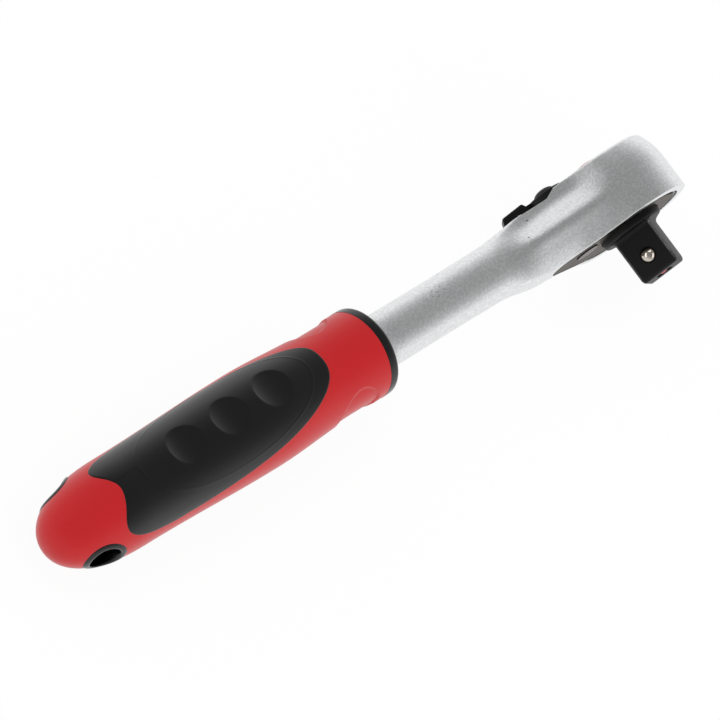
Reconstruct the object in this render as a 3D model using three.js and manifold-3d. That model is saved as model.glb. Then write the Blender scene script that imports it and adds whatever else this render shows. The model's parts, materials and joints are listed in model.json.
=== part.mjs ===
// Reversible ratchet with a pear-shaped head, a quick-release square drive and a two-colour handle.
// Millimetres. The tool lies on its side: +X runs along the handle towards the head, +Y points to
// the side of the reversing lever, so the square drive points along -Y, and +Z is up.
// Inside the tool group the drive axis is the line x = 0, z = 0 and the handle axis is y = 0, z = 0.

import * as THREE from 'three';
import { mergeVertices } from 'three/addons/utils/BufferGeometryUtils.js';
import Module from 'manifold-3d';

const wasm = await Module();
wasm.setup();

// Clearances
const fit = 0.3;              // running and seating clearance between neighbouring pieces
const toothGap = 0.17;        // clearance between the pawl's teeth and the gear's, along the pitch
const breakThrough = 1;       // how far a cutter runs past the face that it opens

// Head
const headRadius = 20.4;
const headAbove = 11.1;       // lever face above the handle axis
const headBelow = 9.6;        // drive face below the handle axis
const leverEdgeRound = 0.9;   // height of the rounded edge at the lever face
const driveEdgeChamfer = 0.4;
const crownStartY = 1.5;      // where the side wall starts to curve in towards the lever face
const crownRadius = 18;
const flareTangent = 30;      // degrees round the head where the neck's flare begins
const neckX = -54;            // where the flare has run out into the round shank
const flatTailX = -37;        // where the drive face becomes flat
const leverRampX = -17;       // where the lever side has risen to its full height
const ridgeLowY = -1.2;       // ridge along the neck where the forging's two halves meet
const ridgeHighY = 0.2;
const ridgeSoft = 0.9;        // half-height of each bend beside the ridge and at the crease
const partingSwell = 2.4;     // how far the ridge stands out of the plain flare
const draftHead = 32.5;       // degrees that the neck leans in below the ridge, at the head and at the shank
const draftShank = 36;
const draftLeanX = -17;       // where the lean starts to change, and where it is done
const draftLeanEndX = -30;
const draftStartX = -11.5;      // where the neck's draft begins
const draftFullX = -19.5;
const creaseSlope = 42;       // degrees that the neck leans in from the ridge up to the crease
const creaseStartX = -13;      // where that slope begins, and where it is at its full height
const creaseFullX = -20;
const creaseHeadY = 7.2;       // height of the crease at the head and at the shank
const creaseShankY = 2.8;

// Shank and tang
const shankRadius = 8.4;
const shankWaist = 0.15;      // how much slimmer the shank is in the middle
const shankSeat = 12;         // how far the full shank reaches into the handle
const tangRadius = 6;
const tangEndX = -194;

// Cover plate and its snap ring
const plateRadius = 16.6;
const plateTailX = -26.4;
const plateTailRadius = 5.6;
const plateThickness = 2.4;
const plateSink = 0.3;        // the plate lies this far below the drive face
const ringWire = 1;
const ringSpan = 125;         // degrees to each side of the tool's front that the snap ring reaches
const ringBite = 0.5;         // how far the snap ring reaches into the groove in the head

// Drive spindle: gear, journal, collar and square in one piece
const gearTeeth = 72;
const gearTipRadius = 11.9;
const toothDepth = 0.8;
const toothTipShare = 0.2;    // share of the pitch that is land at the tip of a tooth
const toothRootShare = 0.76;  // share of the pitch that a tooth takes at its root
const gearHeight = 10.4;
const journalRadius = 7.4;
const collarRadius = 10.05;
const collarProud = 2.3;      // collar below the cover plate
const collarRound = 0.9;
const driveSquare = 12.7;     // across flats
const squareLength = 15.2;    // from the collar's face to the end of the square
const squareCornerRound = 0.9;
const squareEndRound = 1.7;
const squareFillet = 1.5;
const endRecessRadius = 3.4;
const endRecessDepth = 1.2;
const driveTurn = 45;         // degrees from +Z towards -X that the ball's flat faces at rest
const washerWidth = 3;
const washerThickness = 0.8;

// Detent ball and quick release
const ballRadius = 2.4;
const ballProud = 1.3;
const ballFromEnd = 6.4;
const ballLip = 2.3;          // radius of the staked mouth that keeps the ball in
const releaseRamp = 0.5;      // how far the ball moves in for each millimetre of stroke
const pinRadius = 2.25;
const pinWaist = 0.85;
const pinSocketDepth = 2.2;   // how far the pin stands in the button
const pinEndSink = 0.38;
const buttonRadius = 5;
const buttonProud = 1.25;        // straight side of the button above the lever face
const buttonCrown = 0.9;
const buttonFlange = 0.9;
const buttonLip = 1.9;        // wall of the head over the button's flange
const releaseSpringRadius = 4.4;
const releaseSpringWire = 0.6;
const releaseSpringTurns = 3;
const springRoom = 4.9;       // height of the space for the spring under the flange

// Pawl and reversing lever
const pawlPivotX = -14;       // centre of the round pocket that the pawl rocks in
const pawlRadius = 9.8;
const pawlHeight = 9.6;
const pawlRock = 10;          // degrees from one direction to the other
const pawlBankTeeth = 5;
const pawlFirstTooth = 17.5;  // degrees from the tool's axis to the first tooth of a bank
const pawlFaceGap = 0.35;     // pawl face outside the gear's tips
const leverX = -18.5;
const leverSwing = 60;        // degrees between the two directions
const leverSeatY = 9.3;       // floor of the lever's pocket in the head
const stemRadius = 3.7;
const neckRadius = 2.7;
const saddleRadius = 4.1;     // hollow in the back of the pawl round the stem
const hubRadius = 6.2;
const hubThickness = 2.3;
const domeRadius = 3.5;
const domeHeight = 1.5;
const tabStart = 7.6;
const tabReach = 15;
const tabWidth = 10.5;
const tabRootWidth = 8;       // width of the tab where it meets the web
const tabRise = 1.5;          // thumb tab above the web
const webWidth = 1.5;         // width that the web's sides would have at the stem's axis
const oRingWire = 1.05;
const oRingGroove = 1.15;
const oRingY = 7;
const clipWidth = 1.6;
const clipThickness = 0.8;
const clipGap = 80;           // degrees left open in the clip
const plungerRadius = 1.05;
const plungerReach = 3.7;
const plungerLength = 3.2;
const plungerY = -1.5;
const plungerSpringWire = 0.28;
const plungerSpringTurns = 2;
const stemBackWall = 0.7;     // metal left behind the plunger's bore

// Handle
const handleFrontX = -103.4;
const handleButtX = -228.2;
const gripFrontRadius = 13.9;
const gripBellyRadius = 15.1;
const gripWaistRadius = 13.95;
const gripWaistX = -200;
const gripBellyX = -149;
const gripShoulderX = -120;   // where the front cylinder starts to swell into the belly
const buttFullness = 2.3;     // exponent of the domed butt, 2 is an ellipse
const collarWidth = 2.5;
const collarEdge = 1.3;
const sideGripDepth = 1.6;
const sideGripProud = 0.25;
const sideGripTurn = 5;       // degrees that the side grips sit towards the lever side
const sideGripFrontX = -128;
const sideGripHornX = -209.4;
const sideGripTongueX = -206;
const sideGripWideX = -187;   // where the side grip is widest
const sideGripHalfAngle = 79;
const sideGripHornAngle = 44;
const dimpleRadius = 6;
const dimpleDepth = 0.8;
const dimpleFirstX = -147;
const dimplePitch = 16.7;
const dimpleCount = 3;
const padX = -118.6;
const padLength = 16.6;
const padWidth = 19;
const padDepth = 0.6;
const hangHoleX = -215.6;
const hangHoleRadius = 4.6;
const linerWall = 1.8;
const linerSink = 0.5;

// Levels along the drive axis that several pieces share
const driveFaceY = -headBelow;
const plateOuterY = driveFaceY + plateSink;
const plateInnerY = plateOuterY + plateThickness;
const ledgeY = plateInnerY + fit;
const gearBottomY = ledgeY;
const gearTopY = gearBottomY + gearHeight;
const washerY = gearTopY + fit;
const cavityFloorY = washerY + washerThickness + fit;
const lipY = headAbove - buttonLip;
const journalTopY = lipY - fit;
const collarFaceY = plateOuterY - collarProud;
const squareEndY = collarFaceY - squareLength;
const pawlBottomY = ledgeY + fit;
const pawlTopY = pawlBottomY + pawlHeight;
const pocketFloorY = pawlTopY + fit;
const ballY = squareEndY + ballFromEnd;
const ballOut = driveSquare / 2 + ballProud - ballRadius;
const flangeTopY = lipY - fit;
const flangeBottomY = flangeTopY - buttonFlange;
const springSeatY = flangeBottomY - springRoom;
const leverBottomY = leverSeatY + fit;
const webTopY = leverBottomY + hubThickness;
const leverTurn = leverSwing / 2;
const handleBackX = handleFrontX - collarWidth;

const radians = THREE.MathUtils.degToRad;
const lerp = THREE.MathUtils.lerp;
const smoothstep = THREE.MathUtils.smoothstep;

// Solids and booleans

// Keeps the positions only, drops triangles that have closed up and turns the faces outwards.
function solid(geometry) {
  const bare = geometry.clone();
  bare.deleteAttribute('normal');
  bare.deleteAttribute('uv');
  const merged = mergeVertices(bare, 1e-4);
  const place = merged.attributes.position;
  const corner = [new THREE.Vector3(), new THREE.Vector3(), new THREE.Vector3()];
  const kept = [];
  let volume = 0;
  for (let i = 0; i < merged.index.count; i += 3) {
    const ids = [0, 1, 2].map((k) => merged.index.getX(i + k));
    if (ids[0] === ids[1] || ids[1] === ids[2] || ids[2] === ids[0]) continue;
    ids.forEach((id, k) => corner[k].fromBufferAttribute(place, id));
    volume += corner[0].dot(corner[1].clone().cross(corner[2]));
    kept.push(ids);
  }
  const triangles = volume < 0 ? kept.map(([a, b, c]) => [a, c, b]) : kept;
  return new wasm.Manifold(new wasm.Mesh({
    numProp: 3,
    vertProperties: new Float32Array(place.array),
    triVerts: new Uint32Array(triangles.flat()),
  }));
}

function join(...solids) {
  return solids.reduce((whole, piece) => whole.add(piece));
}

function cut(whole, ...cutters) {
  return cutters.reduce((rest, cutter) => rest.subtract(cutter), whole);
}

// Turns a solid back into a named mesh with its own material.
function piece(name, shape, color, roughness, metalness) {
  const mesh = shape.getMesh();
  const geometry = new THREE.BufferGeometry();
  geometry.setAttribute('position', new THREE.BufferAttribute(new Float32Array(mesh.vertProperties), 3));
  geometry.setIndex(new THREE.BufferAttribute(new Uint32Array(mesh.triVerts), 1));
  geometry.computeVertexNormals();
  const made = new THREE.Mesh(geometry, new THREE.MeshStandardMaterial({ color, roughness, metalness }));
  made.name = name;
  return made;
}

// Revolves a profile of [radius, height] pairs about the Y axis through x.
function turned(profile, segments, x = 0) {
  const points = profile.map(([radius, height]) => new THREE.Vector2(radius, height));
  return solid(new THREE.LatheGeometry(points, segments).translate(x, 0, 0));
}

function disc(radius, bottom, top, segments, x = 0) {
  return turned([[0, bottom], [radius, bottom], [radius, top], [0, top]], segments, x);
}

function tube(inner, outer, bottom, top, segments, x = 0) {
  return turned([[inner, bottom], [outer, bottom], [outer, top], [inner, top], [inner, bottom]], segments, x);
}

// Extrudes a plan drawn in x and z between two heights along the drive axis.
function slab(shape, bottom, top, curveSegments = 12) {
  const depth = top - bottom;
  const geometry = new THREE.ExtrudeGeometry(shape, { depth, bevelEnabled: false, curveSegments });
  return solid(geometry.rotateX(Math.PI / 2).translate(0, top, 0));
}

// Rod along an axis that starts on the Y axis at a height and points to an angle from +X towards +Z.
function rod(profile, segments, x, y, angle) {
  const points = profile.map(([radius, along]) => new THREE.Vector2(radius, along));
  const geometry = new THREE.LatheGeometry(points, segments).rotateZ(-Math.PI / 2);
  return solid(geometry.rotateY(-radians(angle)).translate(x, y, 0));
}

function polygon(points) {
  return new THREE.Shape(points.map(([x, y]) => new THREE.Vector2(x, y)));
}

// Points of an arc about (x, 0) in the plan, from one angle to another in degrees.
function arc(x, radius, from, to, steps) {
  return Array.from({ length: steps + 1 }, (_, i) => {
    const angle = radians(lerp(from, to, i / steps));
    return [x + radius * Math.cos(angle), radius * Math.sin(angle)];
  });
}

// Closes a stack of rings of equal length into one skin, with a fan over each end.
function loft(rings) {
  const count = rings[0].length;
  const vertices = rings.flat();
  const faces = [];
  for (let i = 0; i + 1 < rings.length; i += 1) {
    for (let j = 0; j < count; j += 1) {
      const next = (j + 1) % count;
      const a = i * count + j;
      const b = i * count + next;
      faces.push(a, b, a + count, b, b + count, a + count);
    }
  }
  const capEnd = (start, flip) => {
    for (let j = 1; j + 1 < count; j += 1) {
      faces.push(...(flip ? [start, start + j + 1, start + j] : [start, start + j, start + j + 1]));
    }
  };
  capEnd(0, true);
  capEnd((rings.length - 1) * count, false);
  return skin(vertices, faces);
}

function skin(vertices, faces) {
  const geometry = new THREE.BufferGeometry();
  geometry.setAttribute('position', new THREE.Float32BufferAttribute(vertices.flat(), 3));
  geometry.setIndex(faces);
  return solid(geometry);
}

// Coil of wire about an axis along Y: one unbroken tube with flat ends.
const wireSides = 5;
const stepsPerTurn = 8;
function coil(radius, wire, turns, bottom, top, label) {
  const pitch = (top - bottom - wire) / turns;
  const steps = Math.round(turns * stepsPerTurn);
  const rings = Array.from({ length: steps + 1 }, (_, i) => {
    const angle = (i / stepsPerTurn) * 2 * Math.PI;
    const height = bottom + wire / 2 + (pitch * i) / stepsPerTurn;
    return Array.from({ length: wireSides }, (_, k) => {
      const around = (k / wireSides) * 2 * Math.PI;
      const out = radius + (wire / 2) * Math.cos(around);
      return [out * Math.cos(angle), height + (wire / 2) * Math.sin(around), out * Math.sin(angle)];
    });
  });
  let least = Infinity;
  for (let i = 0; i < rings.length; i += 1) {
    for (let j = i + stepsPerTurn - 1; j < rings.length; j += 1) {
      for (const p of rings[i]) {
        for (const q of rings[j]) least = Math.min(least, Math.hypot(p[0] - q[0], p[1] - q[1], p[2] - q[2]));
      }
    }
  }
  console.log(`${label}: least gap between curls ${least.toFixed(2)} mm`);
  return loft(rings);
}

// Head, shank and tang

const wallSteps = 8;
const roundSteps = 2;

// Side wall of the head from the drive face to the lever face: height and how far it lies inside the outline.
function wallProfile() {
  const crown = (y) => Math.max(0, y - crownStartY) ** 2 / (2 * crownRadius);
  const lowY = driveFaceY + driveEdgeChamfer;
  const highY = headAbove - leverEdgeRound;
  const lean = Math.atan((highY - crownStartY) / crownRadius);
  const edge = leverEdgeRound / (1 - Math.sin(lean));
  const points = [[driveFaceY, driveEdgeChamfer]];
  for (let i = 0; i < wallSteps; i += 1) {
    const y = lerp(lowY, highY, i / wallSteps);
    points.push([y, crown(y)]);
  }
  for (let i = 0; i <= roundSteps; i += 1) {
    const turn = lerp(lean, Math.PI / 2, i / roundSteps);
    const y = highY + edge * (Math.sin(turn) - Math.sin(lean));
    points.push([y, crown(highY) + edge * (Math.cos(lean) - Math.cos(turn))]);
  }
  return points;
}

// Half-width of the plan: the round end, then a cubic flare that runs out along the shank.
function planHalfWidth(x, inset) {
  const tangentX = -headRadius * Math.sin(radians(flareTangent));
  const tangentZ = headRadius * Math.cos(radians(flareTangent));
  if (x >= tangentX) return Math.sqrt((headRadius - inset) ** 2 - x * x);
  const span = tangentX - neckX;
  const t = Math.max(0, (x - neckX) / span);
  const ease = t * t * (3 - 2 * t);
  const slope = Math.tan(radians(flareTangent)) * span;
  const half = lerp(shankRadius, tangentZ, ease) + slope * (t * t * t - t * t);
  return half - (inset * lerp(1, 1 / Math.cos(radians(flareTangent)), t));
}

// Nothing before a bend, the distance itself after it, and a parabola between.
function bend(u) {
  return u > ridgeSoft ? u : Math.max(0, u + ridgeSoft) ** 2 / (4 * ridgeSoft);
}

// How far the neck lies inside its ridge: a straight draft below it, a slope up to the crease above it.
function neckInset(x, y) {
  const draft = lerp(draftHead, draftShank, smoothstep(-x, -draftLeanX, -draftLeanEndX));
  const creaseY = lerp(creaseHeadY, creaseShankY, smoothstep(-x, headRadius, -neckX));
  const rise = bend(y - ridgeHighY) - bend(y - creaseY);
  const hollow = smoothstep(-x, -creaseStartX, -creaseFullX) * Math.tan(radians(creaseSlope));
  return Math.tan(radians(draft)) * bend(ridgeLowY - y) + hollow * rise;
}

// Cross-section of the head and neck at x: the round shank blends into the drafted neck and the head.
function bodyRing(x, profile) {
  const boxy = smoothstep(x, neckX, flatTailX);
  const wide = smoothstep(x, neckX, -headRadius);
  const drafted = boxy * smoothstep(-x, -draftStartX, -draftFullX);
  const waist = THREE.MathUtils.clamp((neckX - x) / (neckX - handleFrontX), 0, 1);
  const radius = shankRadius - shankWaist * Math.sin(Math.PI * waist);
  const climb = 0.38 * boxy + 0.62 * smoothstep(x, flatTailX, leverRampX);
  const top = lerp(radius, headAbove, climb);
  const low = lerp(radius, headBelow, boxy);
  const right = profile.map(([y, inset], i) => {
    const angle = radians(lerp(-90, 90, (i + 1) / (profile.length + 1)));
    const level = y > 0 ? (y / headAbove) * top : (y / headBelow) * low;
    const upright = inset * wide * (1 - 0.8 * drafted);
    const side = planHalfWidth(x, upright) + drafted * (partingSwell - neckInset(x, level));
    const round = [radius * Math.sin(angle), radius * Math.cos(angle)];
    return [x, lerp(round[0], level, boxy), lerp(round[1], side, boxy)];
  });
  const left = right.map(([px, py, pz]) => [px, py, -pz]).reverse();
  return [[x, -low, 0], ...right, [x, top, 0], ...left];
}

// Skin of the forging: a loft from the tang to the drive axis, closed by half a turn of the wall.
function forging() {
  const profile = wallProfile();
  const count = 2 * profile.length + 2;
  const seatX = handleFrontX - shankSeat;
  const circle = (x, radius) => Array.from({ length: count }, (_, i) => {
    const angle = radians(-90 + (360 * i) / count);
    return [x, radius * Math.sin(angle), radius * Math.cos(angle)];
  });
  const stations = [];
  for (let i = 0; i <= 6; i += 1) stations.push(lerp(handleFrontX + fit, neckX, i / 6));
  for (let i = 1; i <= 12; i += 1) stations.push(lerp(neckX, draftFullX, i / 12));
  for (let i = 1; i <= 3; i += 1) stations.push(lerp(draftFullX, draftStartX, i / 3));
  for (let i = 1; i <= 3; i += 1) stations.push(lerp(draftStartX, 0, i / 3));
  const rings = [
    circle(tangEndX, tangRadius - 1),
    circle(tangEndX + 1, tangRadius),
    circle(seatX, tangRadius),
    circle(seatX, shankRadius),
    ...stations.map((x) => bodyRing(x, profile)),
  ];
  const vertices = rings.flat();
  const faces = [];
  for (let j = 1; j + 1 < count; j += 1) faces.push(0, j + 1, j);
  for (let i = 0; i + 1 < rings.length; i += 1) {
    for (let j = 0; j < count; j += 1) {
      const a = i * count + j;
      const b = i * count + ((j + 1) % count);
      faces.push(a, b, a + count, b, b + count, a + count);
    }
  }
  // Half a turn of the wall about the drive axis, from +Z by way of +X to -Z.
  const last = (rings.length - 1) * count;
  const sweep = 28;
  const grid = [];
  for (let m = 0; m <= sweep; m += 1) {
    const angle = (Math.PI * m) / sweep;
    grid.push(profile.map(([y, inset], k) => {
      if (m === 0) return last + 1 + k;
      if (m === sweep) return last + count - 1 - k;
      const out = headRadius - inset;
      vertices.push([out * Math.sin(angle), y, out * Math.cos(angle)]);
      return vertices.length - 1;
    }));
  }
  const lowCentre = last;
  const topCentre = last + 1 + profile.length;
  for (let m = 0; m < sweep; m += 1) {
    faces.push(lowCentre, grid[m][0], grid[m + 1][0]);
    faces.push(topCentre, grid[m + 1][profile.length - 1], grid[m][profile.length - 1]);
    for (let k = 0; k + 1 < profile.length; k += 1) {
      faces.push(grid[m][k], grid[m][k + 1], grid[m + 1][k]);
      faces.push(grid[m + 1][k], grid[m][k + 1], grid[m + 1][k + 1]);
    }
  }
  return skin(vertices, faces);
}

// Pear outline of the cover plate, grown by a margin: two arcs and their tangents.
function plateOutline(margin) {
  const lean = THREE.MathUtils.radToDeg(Math.acos((plateRadius - plateTailRadius) / -plateTailX));
  const front = arc(0, plateRadius + margin, -180 + lean, 180 - lean, 40);
  const tail = arc(plateTailX, plateTailRadius + margin, 180 - lean, 180 + lean, 14);
  return polygon([...front, ...tail]);
}

// Fan-shaped pocket that the reversing lever sweeps over.
function leverPocket() {
  const reach = tabReach + 2 * fit;
  const halfTab = Math.atan2(tabRootWidth / 2 + 2 * fit, tabStart - 2 * fit);
  const spread = leverTurn + THREE.MathUtils.radToDeg(halfTab);
  const fan = polygon([[leverX, 0], ...arc(leverX, reach, 180 - spread, 180 + spread, 16)]);
  const top = headAbove + breakThrough;
  return join(slab(fan, leverSeatY, top), disc(hubRadius + fit, leverSeatY, top, 32, leverX));
}

function ratchetBody() {
  const top = headAbove + breakThrough;
  const grooveLow = plateOuterY - fit;
  const grooveHigh = plateOuterY + ringWire + fit;
  const cutters = [
    slab(plateOutline(fit), driveFaceY - breakThrough, ledgeY),
    tube(plateRadius - ringWire, plateRadius + ringBite + fit, grooveLow, grooveHigh, 56),
    disc(gearTipRadius + fit, ledgeY - breakThrough, cavityFloorY, 56),
    disc(pawlRadius + fit, ledgeY - breakThrough, pocketFloorY, 48, pawlPivotX),
    disc(journalRadius + fit, cavityFloorY - breakThrough, lipY, 40),
    disc(buttonRadius + fit, lipY - breakThrough, top, 32),
    disc(stemRadius + fit, ledgeY - breakThrough, top, 28, leverX),
    disc(stemRadius + clipWidth + fit, ledgeY, pocketFloorY + clipThickness + fit, 32, leverX),
    leverPocket(),
  ];
  return cut(forging(), ...cutters);
}

// Gear, journal, collar and square

function gearOutline() {
  const pitch = 360 / gearTeeth;
  const rootRadius = gearTipRadius - toothDepth;
  const points = [];
  for (let i = 0; i < gearTeeth; i += 1) {
    const centre = 180 + i * pitch;
    for (const [radius, share] of [[rootRadius, -toothRootShare], [gearTipRadius, -toothTipShare],
      [gearTipRadius, toothTipShare], [rootRadius, toothRootShare]]) {
      const angle = radians(centre + (share * pitch) / 2);
      points.push([radius * Math.cos(angle), radius * Math.sin(angle)]);
    }
  }
  return polygon(points);
}

// Ring round the square at a height, taken in by an inset. Every ring has the same number of points.
function squareRing(y, inset) {
  const cornerSteps = 4;
  const corner = Math.max(squareCornerRound - inset / 2, 0.3);
  const centre = driveSquare / 2 - inset - corner;
  const points = [];
  for (let side = 0; side < 4; side += 1) {
    for (let i = 0; i <= cornerSteps; i += 1) {
      const turn = (Math.PI / 2) * (side + i / cornerSteps);
      const lean = (Math.PI / 2) * (side + 0.5);
      const x = centre * Math.SQRT2 * Math.cos(lean) + corner * Math.cos(turn);
      const z = centre * Math.SQRT2 * Math.sin(lean) + corner * Math.sin(turn);
      const swing = radians(driveTurn);
      points.push([x * Math.cos(swing) - z * Math.sin(swing), y, x * Math.sin(swing) + z * Math.cos(swing)]);
    }
  }
  return points;
}

function squareBlank() {
  const ends = [0, 30, 60, 90].map((turn) => {
    const angle = radians(turn);
    const rise = squareEndRound * (1 - Math.sin(angle));
    return squareRing(squareEndY + rise, squareEndRound * 0.8 * (1 - Math.cos(angle)));
  });
  return loft([squareRing(gearBottomY, 0), ...ends]);
}

function driveSpindle() {
  const edge = [0, 30, 60, 90].map((turn) => {
    const angle = radians(turn);
    const radius = collarRadius - collarRound + collarRound * Math.cos(angle);
    return [radius, collarFaceY + collarRound - collarRound * Math.sin(angle)];
  });
  const neck = [0, 30, 60, 90].map((turn) => {
    const angle = radians(turn);
    const radius = driveSquare / 2 + squareFillet * (1 - Math.sin(angle));
    return [radius, collarFaceY - squareFillet * (1 - Math.cos(angle))];
  });
  const blank = turned([[0, journalTopY], [journalRadius, journalTopY],
    [journalRadius, gearTopY - breakThrough],
    [collarRadius, gearTopY - breakThrough], ...edge, ...neck, [0, collarFaceY - squareFillet]], 36);
  const gear = slab(gearOutline(), gearBottomY, gearTopY);
  const springBore = disc(buttonRadius + buttonFlange + fit, springSeatY, journalTopY + breakThrough, 32);
  const pinBore = disc(pinRadius + fit, squareEndY - breakThrough, springSeatY + breakThrough, 24);
  const endRecess = disc(endRecessRadius, squareEndY - breakThrough, squareEndY + endRecessDepth, 28);
  const face = driveSquare / 2;
  const ballBore = rod([[0, 0], [ballRadius + fit, 0], [ballRadius + fit, face - 0.8], [ballLip, face],
    [ballLip, face + breakThrough], [0, face + breakThrough]], 24, 0, ballY, 90 + driveTurn);
  return cut(join(blank, gear, squareBlank()), springBore, pinBore, endRecess, ballBore);
}

function thrustWasher() {
  const inner = journalRadius + fit;
  return tube(inner, inner + washerWidth, washerY, washerY + washerThickness, 40);
}

// Cover plate and snap ring

function coverPlate() {
  const plate = slab(plateOutline(0), plateOuterY, plateInnerY);
  const rabbet = tube(plateRadius + ringBite - ringWire - fit, plateRadius + breakThrough,
    plateOuterY - breakThrough, plateOuterY + ringWire + fit, 56);
  const reach = 2 * plateRadius;
  const front = polygon([[0, 0], ...arc(0, reach, -ringSpan - 4, ringSpan + 4, 12)]);
  const frontRabbet = rabbet.intersect(slab(front, plateOuterY - breakThrough, plateInnerY));
  const collarHole = disc(collarRadius + fit, plateOuterY - breakThrough, plateInnerY + breakThrough, 48);
  const stemHole = disc(stemRadius + fit, plateOuterY - breakThrough, plateInnerY + breakThrough, 28, leverX);
  return cut(plate, frontRabbet, collarHole, stemHole);
}

function snapRing() {
  const radius = plateRadius + ringBite - ringWire / 2;
  const rings = Array.from({ length: 37 }, (_, i) => {
    const angle = radians(lerp(-ringSpan, ringSpan, i / 36));
    return Array.from({ length: 6 }, (_, k) => {
      const around = (k / 6) * 2 * Math.PI;
      const out = radius + (ringWire / 2) * Math.cos(around);
      const height = plateOuterY + ringWire / 2 + (ringWire / 2) * Math.sin(around);
      return [out * Math.cos(angle), height, out * Math.sin(angle)];
    });
  });
  return loft(rings);
}

// Detent ball and quick release

function detentBall() {
  const ball = new THREE.SphereGeometry(ballRadius, 16, 10);
  const aimed = ball.translate(0, ballOut, 0).rotateX(Math.PI / 2).rotateY(-radians(driveTurn));
  return solid(aimed.translate(0, ballY, 0));
}

// The waist of the pin is a cone that lets the ball in as the button goes down.
function releasePin() {
  const coneAtBall = ballOut - (ballRadius + 0.7 * fit) * Math.hypot(1, releaseRamp);
  const coneStart = (coneAtBall - pinRadius) / releaseRamp;
  const coneEnd = (coneAtBall - pinWaist) / releaseRamp;
  const top = flangeBottomY + pinSocketDepth - fit;
  const end = squareEndY + pinEndSink;
  return turned([[0, end], [pinRadius / 2, end + 0.12], [pinRadius, end + 0.6],
    [pinRadius, ballY + coneStart], [pinWaist, ballY + coneEnd],
    [pinRadius, ballY + coneEnd + pinRadius - pinWaist], [pinRadius, top], [0, top]], 24);
}

function releaseButton() {
  const sideTop = headAbove + buttonProud;
  const crown = [1, 2, 3].map((i) => {
    const share = i / 4;
    return [buttonRadius * (1 - share), sideTop + buttonCrown * (1 - (1 - share) ** 2)];
  });
  const outside = turned([[0, flangeBottomY], [buttonRadius + buttonFlange, flangeBottomY],
    [buttonRadius + buttonFlange, flangeTopY], [buttonRadius, flangeTopY], [buttonRadius, sideTop],
    ...crown, [0, sideTop + buttonCrown]], 32);
  return cut(outside, disc(pinRadius + fit, flangeBottomY - breakThrough, flangeBottomY + pinSocketDepth, 24));
}

function releaseSpring() {
  return coil(releaseSpringRadius, releaseSpringWire, releaseSpringTurns,
    springSeatY + fit, flangeBottomY - fit, 'release spring');
}

// Pawl, reversing lever and what the stem carries

// One bank of teeth where it meshes with the gear, from the tool's axis outwards, as [radius, degrees].
function bankTeeth() {
  const pitch = 360 / gearTeeth;
  const rootRadius = gearTipRadius - toothDepth;
  const faceRadius = gearTipRadius + pawlFaceGap;
  const tipRadius = rootRadius + fit;
  const gapAt = (radius) => {
    const share = lerp(toothRootShare, toothTipShare, (radius - rootRadius) / toothDepth);
    const slack = THREE.MathUtils.radToDeg(toothGap / radius);
    return ((1 - share) * pitch) / 2 - slack;
  };
  const points = [];
  for (let i = 0; i < pawlBankTeeth; i += 1) {
    const centre = pawlFirstTooth + i * pitch;
    const foot = gapAt(gearTipRadius);
    const tip = Math.max(0.05, gapAt(tipRadius));
    points.push([faceRadius, centre - foot], [tipRadius, centre - tip]);
    points.push([tipRadius, centre + tip], [faceRadius, centre + foot]);
  }
  return points;
}

function turnAbout(x, [px, pz], degrees) {
  const angle = radians(degrees);
  const dx = px - x;
  return [x + dx * Math.cos(angle) + pz * Math.sin(angle), pz * Math.cos(angle) - dx * Math.sin(angle)];
}

// The pawl is a round block that rocks in its pocket: one bank of teeth is in mesh at each end of the rock.
function pawl() {
  const meshed = bankTeeth().map(([radius, degrees]) => {
    const angle = radians(degrees);
    return [-radius * Math.cos(angle), radius * Math.sin(angle)];
  });
  const upper = meshed.map((point) => turnAbout(pawlPivotX, point, -pawlRock / 2));
  const lower = upper.map(([x, z]) => [x, -z]).reverse();
  const end = upper[upper.length - 1];
  const endAngle = THREE.MathUtils.radToDeg(Math.atan2(end[1], end[0] - pawlPivotX));
  const back = arc(pawlPivotX, pawlRadius, endAngle + 3, 360 - endAngle - 3, 28);
  const outline = polygon([...lower, ...upper, ...back]);
  const saddle = polygon([...arc(leverX, saddleRadius, -90, 90, 14),
    [leverX - pawlRadius, saddleRadius], [leverX - pawlRadius, -saddleRadius]]);
  const block = slab(outline, pawlBottomY, pawlTopY);
  const hollow = slab(saddle, pawlBottomY - breakThrough, pawlTopY + breakThrough);
  return turnedAbout(cut(block, hollow), pawlPivotX, pawlRock / 2);
}

// Turns a finished solid about the upright line through x, by the right-hand rule about +Y.
function turnedAbout(shape, x, degrees) {
  return shape.translate([-x, 0, 0]).rotate([0, degrees, 0]).translate([x, 0, 0]);
}

// Side view of the lever's web and thumb tab, as [distance from the stem, height].
function leverProfile() {
  const low = leverBottomY;
  const high = webTopY + tabRise;
  return polygon([[0, low], [tabReach - 0.5, low], [tabReach, low + 0.9], [tabReach - 0.2, high - 1.3],
    [tabReach - 0.9, high - 0.7], [tabStart + 1.1, high],
    [tabStart + 0.5, high - 0.2], [tabStart - 0.6, webTopY],
    [0, webTopY]]);
}

function leverPlan() {
  const web = webWidth / 2;
  const tab = tabWidth / 2;
  const root = tabRootWidth / 2;
  return polygon([[0, -web], [-tabStart, -root], [-tabReach + 2, -tab], [-tabReach + 0.6, -tab + 1],
    [-tabReach, -tab + 2.6], [-tabReach, tab - 2.6], [-tabReach + 0.6, tab - 1], [-tabReach + 2, tab],
    [-tabStart, root], [0, web]]);
}

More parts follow.
